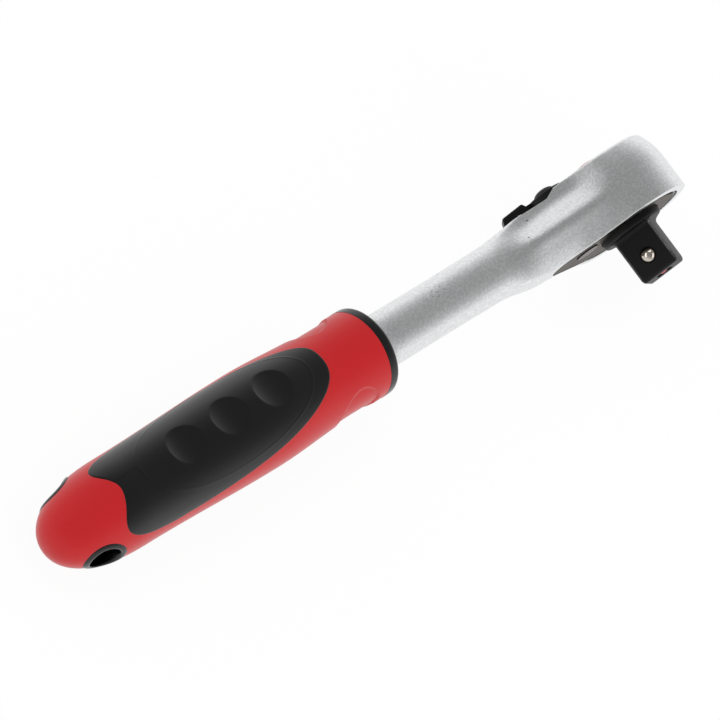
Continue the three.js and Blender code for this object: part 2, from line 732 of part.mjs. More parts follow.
function reversingLever() {
  const dome = [0, 1, 2, 3].map((i) => {
    const share = i / 4;
    return [domeRadius * Math.cos(share * Math.PI / 2), webTopY + domeHeight * Math.sin(share * Math.PI / 2)];
  });
  const clipY = pocketFloorY + fit / 2;
  const grooveRadius = stemRadius - oRingGroove;
  const stemEndY = driveFaceY;
  const neckTopY = pawlTopY;
  const neckLowY = pawlBottomY;
  const stem = turned([[0, stemEndY], [stemRadius - 0.4, stemEndY], [stemRadius, stemEndY + 0.4],
    [stemRadius, neckLowY], [neckRadius, neckLowY], [neckRadius, neckTopY], [stemRadius, neckTopY],
    [stemRadius, clipY - fit / 3], [neckRadius, clipY - fit / 3],
    [neckRadius, clipY + clipThickness + fit / 3], [stemRadius, clipY + clipThickness + fit / 3],
    [stemRadius, oRingY - oRingWire / 2 - fit / 2], [grooveRadius, oRingY - oRingWire / 2 - fit / 2],
    [grooveRadius, oRingY + oRingWire / 2 + fit / 2], [stemRadius, oRingY + oRingWire / 2 + fit / 2],
    [stemRadius, leverBottomY], [hubRadius, leverBottomY],
    [hubRadius, webTopY - 0.5], [hubRadius - 0.5, webTopY],
    ...dome, [0, webTopY + domeHeight]], 32);
  const width = 2 * tabWidth;
  const side = new THREE.ExtrudeGeometry(leverProfile(), { depth: width, bevelEnabled: false });
  const arm = solid(side.rotateY(Math.PI).translate(0, 0, width / 2))
    .intersect(slab(leverPlan(), leverBottomY - breakThrough, webTopY + tabRise + breakThrough));
  const bore = rod([[0, -neckRadius + stemBackWall], [plungerRadius + fit, -neckRadius + stemBackWall],
    [plungerRadius + fit, stemRadius], [0, stemRadius]], 16, 0, plungerY, 0);
  const lever = cut(join(stem, arm), bore).translate([leverX, 0, 0]);
  return turnedAbout(lever, leverX, -leverTurn);
}

function leverORing() {
  const radius = stemRadius - oRingGroove / 2 + fit / 2;
  const section = Array.from({ length: 7 }, (_, i) => {
    const angle = (i / 6) * 2 * Math.PI;
    return [radius + (oRingWire / 2) * Math.cos(angle), oRingY + (oRingWire / 2) * Math.sin(angle)];
  });
  return turned(section, 24, leverX);
}

function leverClip() {
  const low = pocketFloorY + fit / 2;
  const inner = neckRadius + fit / 2;
  const outer = stemRadius + clipWidth;
  const ring = polygon([...arc(leverX, outer, clipGap / 2, 360 - clipGap / 2, 28),
    ...arc(leverX, inner, 360 - clipGap / 2, clipGap / 2, 28)]);
  return slab(ring, low, low + clipThickness);
}

function pawlPlunger() {
  const back = plungerReach - plungerLength;
  const shoulder = plungerReach - plungerRadius;
  const tip = [0, 30, 60].map((turn) => {
    const angle = radians(turn);
    return [plungerRadius * Math.cos(angle), shoulder + plungerRadius * Math.sin(angle)];
  });
  return rod([[0, back], [plungerRadius, back], ...tip, [0, plungerReach]], 16, leverX, plungerY, leverTurn);
}

function pawlSpring() {
  const low = -neckRadius + stemBackWall + fit;
  const high = plungerReach - plungerLength - fit;
  const radius = plungerRadius - plungerSpringWire / 2;
  return coil(radius, plungerSpringWire, plungerSpringTurns, low, high, 'pawl spring')
    .rotate([0, 0, -90]).rotate([0, -leverTurn, 0]).translate([leverX, plungerY, 0]);
}

// Handle

// Radius of the handle: a front cylinder, a belly, a slight waist and a domed butt.
function handleRadius(x) {
  const swell = smoothstep(-x, -gripShoulderX, -gripBellyX);
  const fall = smoothstep(-x, -gripBellyX, -gripWaistX);
  if (x >= gripBellyX) return lerp(gripFrontRadius, gripBellyRadius, swell);
  if (x >= gripWaistX) return lerp(gripBellyRadius, gripWaistRadius, fall);
  const along = (gripWaistX - x) / (gripWaistX - handleButtX);
  return gripWaistRadius * Math.max(0, 1 - along ** buttFullness) ** (1 / buttFullness);
}

const handleSides = 36;
function handleRing(x, radius) {
  return Array.from({ length: handleSides }, (_, i) => {
    const angle = (i / handleSides) * 2 * Math.PI;
    return [x, radius * Math.sin(angle), radius * Math.cos(angle)];
  });
}

// Outside of the handle, taken in by an inset.
function handleSkin(frontX, inset) {
  const stations = [];
  for (let i = 0; i <= 12; i += 1) stations.push(lerp(frontX, gripWaistX, i / 12));
  for (let i = 1; i <= 9; i += 1) {
    stations.push(gripWaistX + (handleButtX - gripWaistX) * Math.sin((Math.PI / 2) * (i / 9.35)));
  }
  return loft(stations.map((x) => handleRing(x, handleRadius(x) - inset)));
}

// Front and rear ends of a side grip, at an angle from the grip's middle line.
function sideGripEnds(degrees) {
  const share = Math.min(1, Math.abs(degrees) / sideGripHalfAngle);
  const horn = Math.abs(degrees) / sideGripHornAngle;
  const frontX = lerp(sideGripFrontX, sideGripWideX, 1 - (1 - share ** 2.7) ** 0.58);
  const tail = Math.max(0, (Math.abs(degrees) - sideGripHornAngle) / (sideGripHalfAngle - sideGripHornAngle));
  const rearX = horn < 1
    ? lerp(sideGripTongueX, sideGripHornX, Math.sin((Math.PI / 2) * horn ** 1.2))
    : lerp(sideGripHornX, sideGripWideX, 1 - (1 - tail ** 2.4) ** 0.5);
  return [frontX, rearX];
}

// Side grip as a bent patch of the handle's surface. The margin grows it into the cutter for its pocket.
const gripAcross = 14;
const gripAlong = 14;
function sideGripPatch(side, margin, proud) {
  const depth = sideGripDepth + margin;
  const outer = [];
  const inner = [];
  for (let j = 0; j <= gripAcross; j += 1) {
    const across = Math.sin((Math.PI / 2) * lerp(-1, 1, j / gripAcross));
    const degrees = across * sideGripHalfAngle;
    const [frontX, rearX] = sideGripEnds(degrees);
    const spread = THREE.MathUtils.radToDeg(margin / gripWaistRadius);
    const angle = radians(sideGripTurn + degrees + across * spread);
    for (let i = 0; i <= gripAlong; i += 1) {
      const ease = 0.5 - 0.5 * Math.cos((Math.PI * i) / gripAlong);
      const x = lerp(frontX + margin, rearX - margin, lerp(i / gripAlong, ease, 0.6));
      const at = (radius) => [x, radius * Math.sin(angle), side * radius * Math.cos(angle)];
      outer.push(at(handleRadius(x) + proud));
      inner.push(at(handleRadius(x) - depth));
    }
  }
  const row = gripAlong + 1;
  const offset = outer.length;
  const faces = [];
  const quad = (a, b, c, d) => faces.push(a, b, c, a, c, d);
  for (let j = 0; j < gripAcross; j += 1) {
    for (let i = 0; i < gripAlong; i += 1) {
      const a = j * row + i;
      quad(a, a + 1, a + row + 1, a + row);
      quad(offset + a, offset + a + row, offset + a + row + 1, offset + a + 1);
    }
  }
  for (let j = 0; j < gripAcross; j += 1) {
    const front = j * row;
    const rear = j * row + gripAlong;
    quad(front, front + row, offset + front + row, offset + front);
    quad(rear, offset + rear, offset + rear + row, rear + row);
  }
  for (let i = 0; i < gripAlong; i += 1) {
    const last = gripAcross * row + i;
    quad(i, offset + i, offset + i + 1, i + 1);
    quad(last, last + 1, offset + last + 1, offset + last);
  }
  return skin([...outer, ...inner], faces);
}

// Shallow thumb dimples along the middle of a side grip, each the cap of a large ball.
function dimples(side) {
  const capRadius = (dimpleRadius ** 2 + dimpleDepth ** 2) / (2 * dimpleDepth);
  const lean = radians(sideGripTurn);
  return Array.from({ length: dimpleCount }, (_, i) => {
    const x = dimpleFirstX - i * dimplePitch;
    const out = handleRadius(x) + sideGripProud + capRadius - dimpleDepth;
    const cap = new THREE.SphereGeometry(capRadius, 32, 44);
    const turnedCap = cap.rotateX(-side * Math.PI / 2);
    return solid(turnedCap.translate(x, out * Math.sin(lean), side * out * Math.cos(lean)));
  });
}

function sideGrip(side) {
  return cut(sideGripPatch(side, 0, sideGripProud), ...dimples(side));
}

// Oval thumb pad, sunk evenly into the handle on the drive side and on the lever side.
function thumbPad(side) {
  const oval = new THREE.Shape();
  oval.absellipse(padX, 0, padLength / 2, padWidth / 2, 0, 2 * Math.PI);
  const reach = side * (gripBellyRadius + breakThrough);
  const column = slab(oval, Math.min(0, reach), Math.max(0, reach), 16);
  const ends = [padX + padLength, padX - padLength];
  const core = loft(ends.map((x) => handleRing(x, gripFrontRadius - padDepth)));
  return cut(column, core);
}

function handleBody() {
  const bore = (frontX, endX, radius) => loft([frontX, endX].map((x) => handleRing(x, radius)));
  return cut(
    handleSkin(handleBackX - fit, 0),
    bore(handleFrontX, handleFrontX - shankSeat - fit, shankRadius + fit),
    bore(handleFrontX, tangEndX - fit, tangRadius + fit),
    sideGripPatch(1, fit, breakThrough),
    sideGripPatch(-1, fit, breakThrough),
    disc(hangHoleRadius + linerWall + fit, -gripBellyRadius, gripBellyRadius, 36, hangHoleX),
    thumbPad(1),
    thumbPad(-1),
  );
}

function frontCollar() {
  const outer = gripFrontRadius;
  const edge = [0, 30, 60, 90].map((turn) => {
    const angle = radians(turn);
    const out = outer - collarEdge + collarEdge * Math.cos(angle);
    return [out, handleFrontX - collarEdge + collarEdge * Math.sin(angle)];
  });
  const inner = shankRadius + fit;
  const back = [inner, handleBackX];
  const profile = [back, [outer, handleBackX], ...edge, [inner, handleFrontX], back];
  const points = profile.map(([radius, along]) => new THREE.Vector2(radius, along));
  return solid(new THREE.LatheGeometry(points, handleSides).rotateZ(-Math.PI / 2));
}

// Liner of the hanging hole, cut to the curve of the handle at both mouths.
function hangHoleLiner() {
  const reach = gripBellyRadius;
  const sleeve = tube(hangHoleRadius, hangHoleRadius + linerWall, -reach, reach, 36, hangHoleX);
  return sleeve.intersect(handleSkin(handleBackX, linerSink));
}

// Assembly

const chrome = { color: 0xb9bbbd, roughness: 0.34, metalness: 1 };
const steel = { color: 0x8c8882, roughness: 0.42, metalness: 1 };
const springSteel = { color: 0x6f7276, roughness: 0.35, metalness: 1 };
const blackened = { color: 0x1b1b1c, roughness: 0.5, metalness: 0.6 };
const polished = { color: 0xd9d9d6, roughness: 0.12, metalness: 1 };
const redPlastic = { color: 0xc4262e, roughness: 0.42, metalness: 0 };
const blackRubber = { color: 0x1d1e20, roughness: 0.6, metalness: 0 };

const catalogue = [
  ['ratchet_body', ratchetBody(), chrome],
  ['drive_spindle', driveSpindle(), blackened],
  ['thrust_washer', thrustWasher(), steel],
  ['cover_plate', coverPlate(), steel],
  ['plate_snap_ring', snapRing(), springSteel],
  ['detent_ball', detentBall(), polished],
  ['release_button', releaseButton(), redPlastic],
  ['release_pin', releasePin(), steel],
  ['release_spring', releaseSpring(), springSteel],
  ['pawl', pawl(), steel],
  ['reversing_lever', reversingLever(), blackened],
  ['lever_o_ring', leverORing(), blackRubber],
  ['lever_clip', leverClip(), springSteel],
  ['pawl_plunger', pawlPlunger(), steel],
  ['pawl_spring', pawlSpring(), springSteel],
  ['handle_body', handleBody(), redPlastic],
  ['side_grip_upper', sideGrip(1), blackRubber],
  ['side_grip_lower', sideGrip(-1), blackRubber],
  ['front_collar', frontCollar(), blackRubber],
  ['hang_hole_liner', hangHoleLiner(), blackRubber],
];

const tool = new THREE.Group();
for (const [name, shape, { color, roughness, metalness }] of catalogue) {
  tool.add(piece(name, shape, color, roughness, metalness));
}

// The origin is under the middle of the tool, on the surface that it lies on.
tool.position.set(-(handleButtX + headRadius) / 2, -(squareEndY + gripBellyRadius) / 2, headRadius);

const ratchet = new THREE.Group();
ratchet.add(tool);

export default ratchet;
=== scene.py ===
import json
import math

import bmesh
import bpy
import numpy as np
from mathutils import Matrix, Vector


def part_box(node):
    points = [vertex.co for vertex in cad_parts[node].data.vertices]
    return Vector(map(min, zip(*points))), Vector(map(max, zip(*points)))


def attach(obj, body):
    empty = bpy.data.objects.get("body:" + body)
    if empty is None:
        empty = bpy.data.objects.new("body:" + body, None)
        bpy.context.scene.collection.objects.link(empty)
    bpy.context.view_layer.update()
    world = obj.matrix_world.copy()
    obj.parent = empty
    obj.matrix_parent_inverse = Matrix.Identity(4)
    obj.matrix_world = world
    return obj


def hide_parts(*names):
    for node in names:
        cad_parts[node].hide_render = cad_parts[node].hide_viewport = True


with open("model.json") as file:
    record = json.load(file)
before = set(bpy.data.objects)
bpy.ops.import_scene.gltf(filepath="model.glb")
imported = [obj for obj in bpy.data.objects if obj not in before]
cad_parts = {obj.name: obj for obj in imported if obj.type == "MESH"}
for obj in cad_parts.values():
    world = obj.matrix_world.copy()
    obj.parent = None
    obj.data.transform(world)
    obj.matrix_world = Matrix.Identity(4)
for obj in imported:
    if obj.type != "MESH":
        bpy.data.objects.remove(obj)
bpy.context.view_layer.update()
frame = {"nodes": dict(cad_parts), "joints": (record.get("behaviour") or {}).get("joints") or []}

# Sizes are in millimetres in the tool's own axes: x along the handle towards the head, y towards the
# lever's side, z up, with the drive axis at x = z = 0 and the handle axis at y = z = 0.
joints = {j["name"]: j for j in frame["joints"]}
collarLow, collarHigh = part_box("front_collar")
toolOrigin = np.array([joints["drive_spin"]["pos_m"][0],
                       (collarLow.y + collarHigh.y) / 2,
                       joints["drive_spin"]["pos_m"][2]])


def nodeBox(node):  # a CAD node's corners in the tool's axes
    low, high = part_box(node)
    return (np.array(low) - toolOrigin) * 1000, (np.array(high) - toolOrigin) * 1000


buttX = nodeBox("handle_body")[0][0]
handleBackX = nodeBox("handle_body")[1][0]
collarFrontX = nodeBox("front_collar")[1][0]
clearance = 0.3                                  # between pieces that fit into one another
past = 2.0                                       # how far a cutter reaches past a face
tiny = 0.01                                      # keeps two corners of a profile apart


def ease(t):  # 0 to 1 with level ends
    t = np.clip(t, 0, 1)
    return t * t * (3 - 2 * t)


def partWay(x, startX, endX):  # eased share of the way from one station to another
    return ease((x - startX) / (endX - startX))


def blend(start, end, share):
    return start + (end - start) * share


def gridFaces(rows, cols, closeRows=False, closeCols=False):
    # quads of a grid of points stored row by row, joined round on itself where a direction is closed
    r = np.arange(rows if closeRows else rows - 1)[:, None]
    c = np.arange(cols if closeCols else cols - 1)[None, :]
    r2, c2 = (r + 1) % rows, (c + 1) % cols
    quads = np.stack([r * cols + c, r * cols + c2, r2 * cols + c2, r2 * cols + c], -1)
    return quads.reshape(-1, 4)


def endCaps(rows, cols):
    # the first and the last ring of a grid as one face each
    return [[np.arange(cols)], [np.arange((rows - 1) * cols, rows * cols)]]


def fanFaces(centre, ring):
    # triangles from one point to a closed ring of points
    ring = np.asarray(ring)
    return np.stack([np.full(len(ring), centre), ring, np.roll(ring, -1)], -1)


def addObject(name, data):
    made = bpy.data.objects.new(name, data)
    bpy.context.scene.collection.objects.link(made)
    return made


def buildMesh(name, points, faceSets, smoothAngle=35):
    # makes a mesh object from points in millimetres and lists of faces, with its faces turned outwards
    mesh = bpy.data.meshes.new(name)
    place = np.asarray(points, float) / 1000 + toolOrigin
    faces = [f.tolist() for faceSet in faceSets for f in np.asarray(faceSet)]
    mesh.from_pydata(place.tolist(), [], faces)
    tidy = bmesh.new()
    tidy.from_mesh(mesh)
    bmesh.ops.remove_doubles(tidy, verts=tidy.verts, dist=1e-7)
    bmesh.ops.recalc_face_normals(tidy, faces=tidy.faces)
    tidy.to_mesh(mesh)
    tidy.free()
    made = addObject(name, mesh)
    shadeSmooth(made, smoothAngle)
    return made


def shadeSmooth(made, smoothAngle):
    made.data.polygons.foreach_set("use_smooth", np.ones(len(made.data.polygons), bool))
    made.data.set_sharp_from_angle(angle=math.radians(smoothAngle))


def cutAway(made, cutters, smoothAngle=35):
    # takes each cutter's volume out of a piece, then removes the cutter
    for cutter in cutters:
        step = made.modifiers.new("cut", "BOOLEAN")
        step.operation = "DIFFERENCE"
        step.solver = "EXACT"
        step.object = cutter
        bpy.context.view_layer.objects.active = made
        bpy.ops.object.modifier_apply(modifier=step.name)
        bpy.data.objects.remove(cutter)
    shadeSmooth(made, smoothAngle)
    return made


def transformShape(made, matrix):  # about the tool's origin
    about = Matrix.Translation(Vector(toolOrigin))
    made.data.transform(about @ matrix @ about.inverted())


def joinMeshes(first, *others):
    with bpy.context.temp_override(active_object=first, selected_editable_objects=[first, *others]):
        bpy.ops.object.join()
    return first


def revolve(name, profile, segments=96, axis="y", at=(0, 0, 0), smoothAngle=35):
    # profile of (radius, height) pairs turned about an axis; a radius of 0 closes to a pole
    profile = np.asarray(profile, float)
    across = profile[:, 0][:, None, None] * ringPoints(segments)[None]
    height = np.broadcast_to(profile[:, 1][:, None], across.shape[:2])
    order = {"y": (across[..., 0], height, across[..., 1]), "x": (height, across[..., 0], across[..., 1])}
    points = np.stack(order[axis], -1).reshape(-1, 3) + np.asarray(at, float)
    closed = np.allclose(profile[0], profile[-1])
    if closed:
        points = points[:-segments]
    rows = len(points) // segments
    return buildMesh(name, points, [gridFaces(rows, segments, closeRows=closed, closeCols=True)], smoothAngle)


def disc(name, radius, low, high, x=0.0, segments=96):
    return revolve(name, [(0, low), (radius, low), (radius, high), (0, high)], segments, at=(x, 0, 0))


def roundedProfile(corners, rounds, steps=6):
    # polyline of (radius, height) corners with each corner replaced by an arc of its own radius
    corners = np.asarray(corners, float)
    out = [corners[0]]
    for before, here, after, radius in zip(corners, corners[1:], corners[2:], rounds):
        if radius <= 0:
            out.append(here)
            continue
        a = (before - here) / np.linalg.norm(before - here)
        b = (after - here) / np.linalg.norm(after - here)
        half = math.acos(np.clip(a @ b, -1, 1)) / 2
        reach = radius / math.tan(half)
        middle = here + (a + b) / np.linalg.norm(a + b) * radius / math.sin(half)
        start, stop = here + a * reach - middle, here + b * reach - middle
        from0, to0 = math.atan2(start[1], start[0]), math.atan2(stop[1], stop[0])
        turn = (to0 - from0 + math.pi) % (2 * math.pi) - math.pi
        t = from0 + turn * np.linspace(0, 1, steps + 1)
        out.extend(middle + radius * np.stack([np.cos(t), np.sin(t)], -1))
    out.append(corners[-1])
    return np.array(out)


def prism(name, outline, low, high, smoothAngle=35):
    # plan outline in (x, z) carried straight along y from low to high
    outline = np.asarray(outline, float)
    n = len(outline)
    ends = [np.stack([outline[:, 0], np.full(n, y), outline[:, 1]], -1) for y in (low, high)]
    faces = [gridFaces(2, n, closeCols=True), *endCaps(2, n)]
    return buildMesh(name, np.concatenate(ends), faces, smoothAngle)


def arcPoints(x, radius, start, stop, steps):
    angle = np.radians(np.linspace(start, stop, steps + 1))
    return np.stack([x + radius * np.cos(angle), radius * np.sin(angle)], -1)


def ringPoints(n):  # unit circle in (cos, sin)
    angle = np.linspace(0, 2 * np.pi, n, endpoint=False)
    return np.stack([np.cos(angle), np.sin(angle)], -1)


def wear(made, body, node, material):
    # the piece stands for a CAD node, moves with that node's body and takes its finish
    made.data.materials.clear()
    made.data.materials.append(material)
    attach(made, body)
    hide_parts(node)
    return made


# Materials

def hexColour(code):  # sRGB hex to linear
    channels = [int(code[i:i + 2], 16) / 255 for i in (0, 2, 4)]
    linear = [c / 12.92 if c <= 0.04045 else ((c + 0.055) / 1.055) ** 2.4 for c in channels]
    return (*linear, 1.0)


def addNode(tree, kind, settings=None, inputs=None, links=None):
    # adds a node, sets its properties and sockets, and links sockets from (node, output) pairs
    node = tree.nodes.new(kind)
    for key, value in (settings or {}).items():
        setattr(node, key, value)
    for key, value in (inputs or {}).items():
        node.inputs[key].default_value = value
    for key, (source, output) in (links or {}).items():
        tree.links.new(source.outputs[output], node.inputs[key])
    return node


def startMaterial(name, inputs):
    material = bpy.data.materials.new(name)
    material.use_nodes = True
    tree = material.node_tree
    shader = tree.nodes["Principled BSDF"]
    for key, value in inputs.items():
        shader.inputs[key].default_value = value
    return material, tree, shader


def noiseFor(tree, millimetres, detail=3.0, roughness=0.5):
    # noise with features of a real size, read in the piece's own metres
    place = addNode(tree, "ShaderNodeTexCoord")
    return addNode(tree, "ShaderNodeTexNoise", inputs={
        "Scale": 1000 / millimetres, "Detail": detail, "Roughness": roughness},
        links={"Vector": (place, "Object")})


def addGrain(tree, shader, millimetres, strength, depth):
    # fine raised grain of a moulded or coated surface
    grain = noiseFor(tree, millimetres, 2.0)
    bump = addNode(tree, "ShaderNodeBump", inputs={"Strength": strength, "Distance": depth / 1000},
                   links={"Height": (grain, "Fac")})
    tree.links.new(bump.outputs["Normal"], shader.inputs["Normal"])


def addSpots(tree, cell, radius, core, level):
    # round spots with a full core and a soft rim, in those cells of a random pattern that draw above a level
    place = addNode(tree, "ShaderNodeTexCoord")
    cells = addNode(tree, "ShaderNodeTexVoronoi", inputs={"Scale": 1000 / cell},
                    links={"Vector": (place, "Object")})
    near = addNode(tree, "ShaderNodeMapRange", inputs={
        "From Min": core * radius / cell, "From Max": radius / cell, "To Min": 1.0, "To Max": 0.0},
        links={"Value": (cells, "Distance")})
    chance = addNode(tree, "ShaderNodeSeparateColor", links={"Color": (cells, "Color")})
    rare = addNode(tree, "ShaderNodeMath", {"operation": "GREATER_THAN"}, inputs={1: level},
                   links={0: (chance, "Red")})
    return addNode(tree, "ShaderNodeMath", {"operation": "MULTIPLY"}, links={0: (near, "Result"), 1: (rare, 0)})


chromeLook = {
    "colour": "F0F1F2", "dark": "DEDFE0", "roughness": 0.3, "grit": 0.75, "gritDepth": 0.085, "patch": 14.0,
    "pitCell": 5.0, "pitRadius": 0.32, "pitCore": 0.6, "pitLevel": 0.86, "pitColour": "4A4B4D",
    "dotCell": 0.8, "dotRadius": 0.3, "dotCore": 0.5, "dotLevel": 0.5, "dotColour": "8E9092",
    "dotsMiddle": (27.0, 2.8, 8.0), "dotsReach": (34.0, 4.6, 10.0),  # from the collar's front on the axis
    "dotsInside": 0.62, "dotsOutside": 0.34, "dotsFade": 0.14, "frost": 0.3, "frostLength": 6.0,
}


def dotStreak(tree, patch):
    # 1 in the middle of a streak along the shank, broken up by the grain's patches
    look = chromeLook
    place = addNode(tree, "ShaderNodeTexCoord")
    middle = np.array([collarFrontX, 0, 0]) + look["dotsMiddle"]
    stretch = 1000 / np.array(look["dotsReach"])
    apart = addNode(tree, "ShaderNodeMapping", inputs={
        "Location": -(middle / 1000 + toolOrigin) * stretch, "Scale": stretch},
        links={"Vector": (place, "Object")})
    far = addNode(tree, "ShaderNodeVectorMath", {"operation": "LENGTH"}, links={0: (apart, 0)})
    near = addNode(tree, "ShaderNodeMapRange", inputs={
        "To Min": look["dotsInside"], "To Max": look["dotsOutside"]}, links={"Value": (far, "Value")})
    both = addNode(tree, "ShaderNodeMath", {"operation": "ADD"}, links={0: (patch, "Fac"), 1: (near, "Result")})
    return addNode(tree, "ShaderNodeMapRange", inputs={"From Min": 1.0, "From Max": 1 + look["dotsFade"]},
                   links={"Value": (both, 0)})


def satinChrome():
    # nickel-chrome plate on a blasted forging: soft broad reflections, a sandy grain that comes and goes in
    # patches, a few dark pits, a streak of specks, and a duller band at the handle
    look = chromeLook
    material, tree, shader = startMaterial("bead-blasted satin chrome", {
        "Base Color": hexColour(look["colour"]), "Metallic": 1.0, "Roughness": look["roughness"]})
    patch = noiseFor(tree, look["patch"], 3.0)
    depth = addNode(tree, "ShaderNodeMapRange", inputs={
        "From Min": 0.35, "From Max": 0.65, "To Min": 0.5, "To Max": 1.0}, links={"Value": (patch, "Fac")})
    grit = noiseFor(tree, look["grit"], 2.0)
    bump = addNode(tree, "ShaderNodeBump", inputs={"Distance": look["gritDepth"] / 1000},
                   links={"Height": (grit, "Fac"), "Strength": (depth, "Result")})
    tree.links.new(bump.outputs["Normal"], shader.inputs["Normal"])
    pit = addSpots(tree, look["pitCell"], look["pitRadius"], look["pitCore"], look["pitLevel"])
    dots = addSpots(tree, look["dotCell"], look["dotRadius"], look["dotCore"], look["dotLevel"])
    dot = addNode(tree, "ShaderNodeMath", {"operation": "MULTIPLY"},
                  links={0: (dots, 0), 1: (dotStreak(tree, patch), "Result")})
    speck = addNode(tree, "ShaderNodeMapRange", inputs={"From Min": 0.4, "From Max": 0.65},
                    links={"Value": (grit, "Fac")})
    sand = addNode(tree, "ShaderNodeMix", {"data_type": "RGBA"}, inputs={                  # 6 and 7: its colours
        6: hexColour(look["dark"]), 7: hexColour(look["colour"])}, links={0: (speck, "Result")})
    grime = addNode(tree, "ShaderNodeMix", {"data_type": "RGBA"}, inputs={7: hexColour(look["dotColour"])},
                    links={0: (dot, 0), 6: (sand, 2)})
    tone = addNode(tree, "ShaderNodeMix", {"data_type": "RGBA"}, inputs={7: hexColour(look["pitColour"])},
                   links={0: (pit, "Value"), 6: (grime, 2)})
    tree.links.new(tone.outputs[2], shader.inputs["Base Color"])
    place = addNode(tree, "ShaderNodeTexCoord")
    axis = addNode(tree, "ShaderNodeSeparateXYZ", links={"Vector": (place, "Object")})
    handleEnd = toolOrigin[0] + collarFrontX / 1000
    frost = addNode(tree, "ShaderNodeMapRange", {"interpolation_type": "SMOOTHSTEP"}, inputs={
        "From Min": handleEnd + look["frostLength"] / 2000, "From Max": handleEnd + look["frostLength"] / 1000,
        "To Min": look["roughness"] + look["frost"], "To Max": look["roughness"]}, links={"Value": (axis, "X")})
    tree.links.new(frost.outputs["Result"], shader.inputs["Roughness"])
    return material


phosphateLook = {
    "colour": "09090A", "roughness": 0.5, "sheen": 0.3, "grain": 0.35, "grainDepth": 0.01,
    # the paler edge colour and its reach paint a highlight along the square's edges, together with rubbed wear
    "grainStrength": 0.35, "edgeHighlightAndWear": "5E5D5E", "edgeHighlightAndWearFrom": 5.6, "edgeHighlightAndWearFull": 6.0, "edgeHighlightAndWearRuns": 2.5,
    "ground": "77736E", "groundDepth": 0.06,
}


def blackPhosphate(name, paleMask):
    # manganese-phosphated steel: near black and dull, paler at the square's edges, where a highlight is painted
    # together with rubbed wear, and at the stem's end, where it is ground bare
    look = phosphateLook
    material, tree, shader = startMaterial(name, {
        "Base Color": hexColour(look["colour"]), "Metallic": 0.0, "Roughness": look["roughness"],
        "Specular IOR Level": look["sheen"]})
    addGrain(tree, shader, look["grain"], look["grainStrength"], look["grainDepth"])
    paleShare, tint = paleMask(tree)
    tone = addNode(tree, "ShaderNodeMix", {"data_type": "RGBA"}, inputs={
        6: hexColour(look["colour"]), 7: hexColour(look[tint])}, links={0: (paleShare, 0)})
    tree.links.new(tone.outputs[2], shader.inputs["Base Color"])
    return material


def squareEdgeHighlightAndWear(tree):
    # paler where both distances from the square's middle planes are near half its width, in uneven runs: a
    # highlight painted along the square's edges, together with rubbed wear
    look = phosphateLook
    place = addNode(tree, "ShaderNodeTexCoord")
    middle = addNode(tree, "ShaderNodeVectorMath", {"operation": "SUBTRACT"}, inputs={1: tuple(toolOrigin)},
                     links={0: (place, "Object")})
    turned = addNode(tree, "ShaderNodeVectorRotate", {"rotation_type": "Y_AXIS"},
                     inputs={"Angle": math.radians(drive["turn"])}, links={"Vector": (middle, 0)})
    away = addNode(tree, "ShaderNodeVectorMath", {"operation": "ABSOLUTE"}, links={0: (turned, 0)})
    sides = addNode(tree, "ShaderNodeSeparateXYZ", links={"Vector": (away, 0)})
    both = {0: (sides, "X"), 1: (sides, "Z")}
    least, most = (addNode(tree, "ShaderNodeMath", {"operation": kind}, links=both)
                   for kind in ("MINIMUM", "MAXIMUM"))
    edge = addNode(tree, "ShaderNodeMapRange", inputs={
        "From Min": look["edgeHighlightAndWearFrom"] / 1000, "From Max": look["edgeHighlightAndWearFull"] / 1000}, links={"Value": (least, 0)})
    within = addNode(tree, "ShaderNodeMath", {"operation": "LESS_THAN"},
                     inputs={1: (drive["square"] / 2 + 0.1) / 1000}, links={0: (most, 0)})  # not on the collar
    paleShare = addNode(tree, "ShaderNodeMath", {"operation": "MULTIPLY"}, links={0: (edge, 0), 1: (within, 0)})
    uneven = noiseFor(tree, look["edgeHighlightAndWearRuns"], 3.0)
    runs = addNode(tree, "ShaderNodeMapRange", inputs={
        "From Min": 0.4, "From Max": 0.6, "To Min": 0.25, "To Max": 1.0}, links={"Value": (uneven, "Fac")})
    edgeHighlightAndWear = addNode(tree, "ShaderNodeMath", {"operation": "MULTIPLY"}, links={0: (paleShare, 0), 1: (runs, 0)})
    return edgeHighlightAndWear, "edgeHighlightAndWear"


def stemEnd(tree):
    # bare below the cover plate's outer face, where the stem's end was ground
    place = addNode(tree, "ShaderNodeTexCoord")
    axis = addNode(tree, "ShaderNodeSeparateXYZ", links={"Vector": (place, "Object")})
    level = toolOrigin[1] - (head["below"] + lever["stemProud"] - phosphateLook["groundDepth"]) / 1000
    ground = addNode(tree, "ShaderNodeMath", {"operation": "LESS_THAN"}, inputs={1: level},
                     links={0: (axis, "Y")})
    return ground, "ground"


plateLook = {"colour": "716F6C", "tint": "ACA9A5", "roughness": 0.3, "vary": 0.06, "streak": (12.0, 0.6, 0.6)}


def groundSteel():
    # bare ground plate: warm grey with fine streaks along the tool
    look = plateLook
    material, tree, shader = startMaterial("ground bare steel", {
        "Base Color": hexColour(look["colour"]), "Metallic": 1.0, "Roughness": look["roughness"],
        "Specular Tint": hexColour(look["tint"])})
    place = addNode(tree, "ShaderNodeTexCoord")
    stretch = addNode(tree, "ShaderNodeMapping", inputs={"Scale": 1000 / np.array(look["streak"])},
                      links={"Vector": (place, "Object")})
    streak = addNode(tree, "ShaderNodeTexNoise", inputs={"Scale": 1.0, "Detail": 3.0},
                     links={"Vector": (stretch, "Vector")})
    tone = addNode(tree, "ShaderNodeMapRange", inputs={
        "From Min": 0.3, "From Max": 0.7, "To Min": look["roughness"] - look["vary"],
        "To Max": look["roughness"] + look["vary"]}, links={"Value": (streak, "Fac")})
    tree.links.new(tone.outputs["Result"], shader.inputs["Roughness"])
    return material


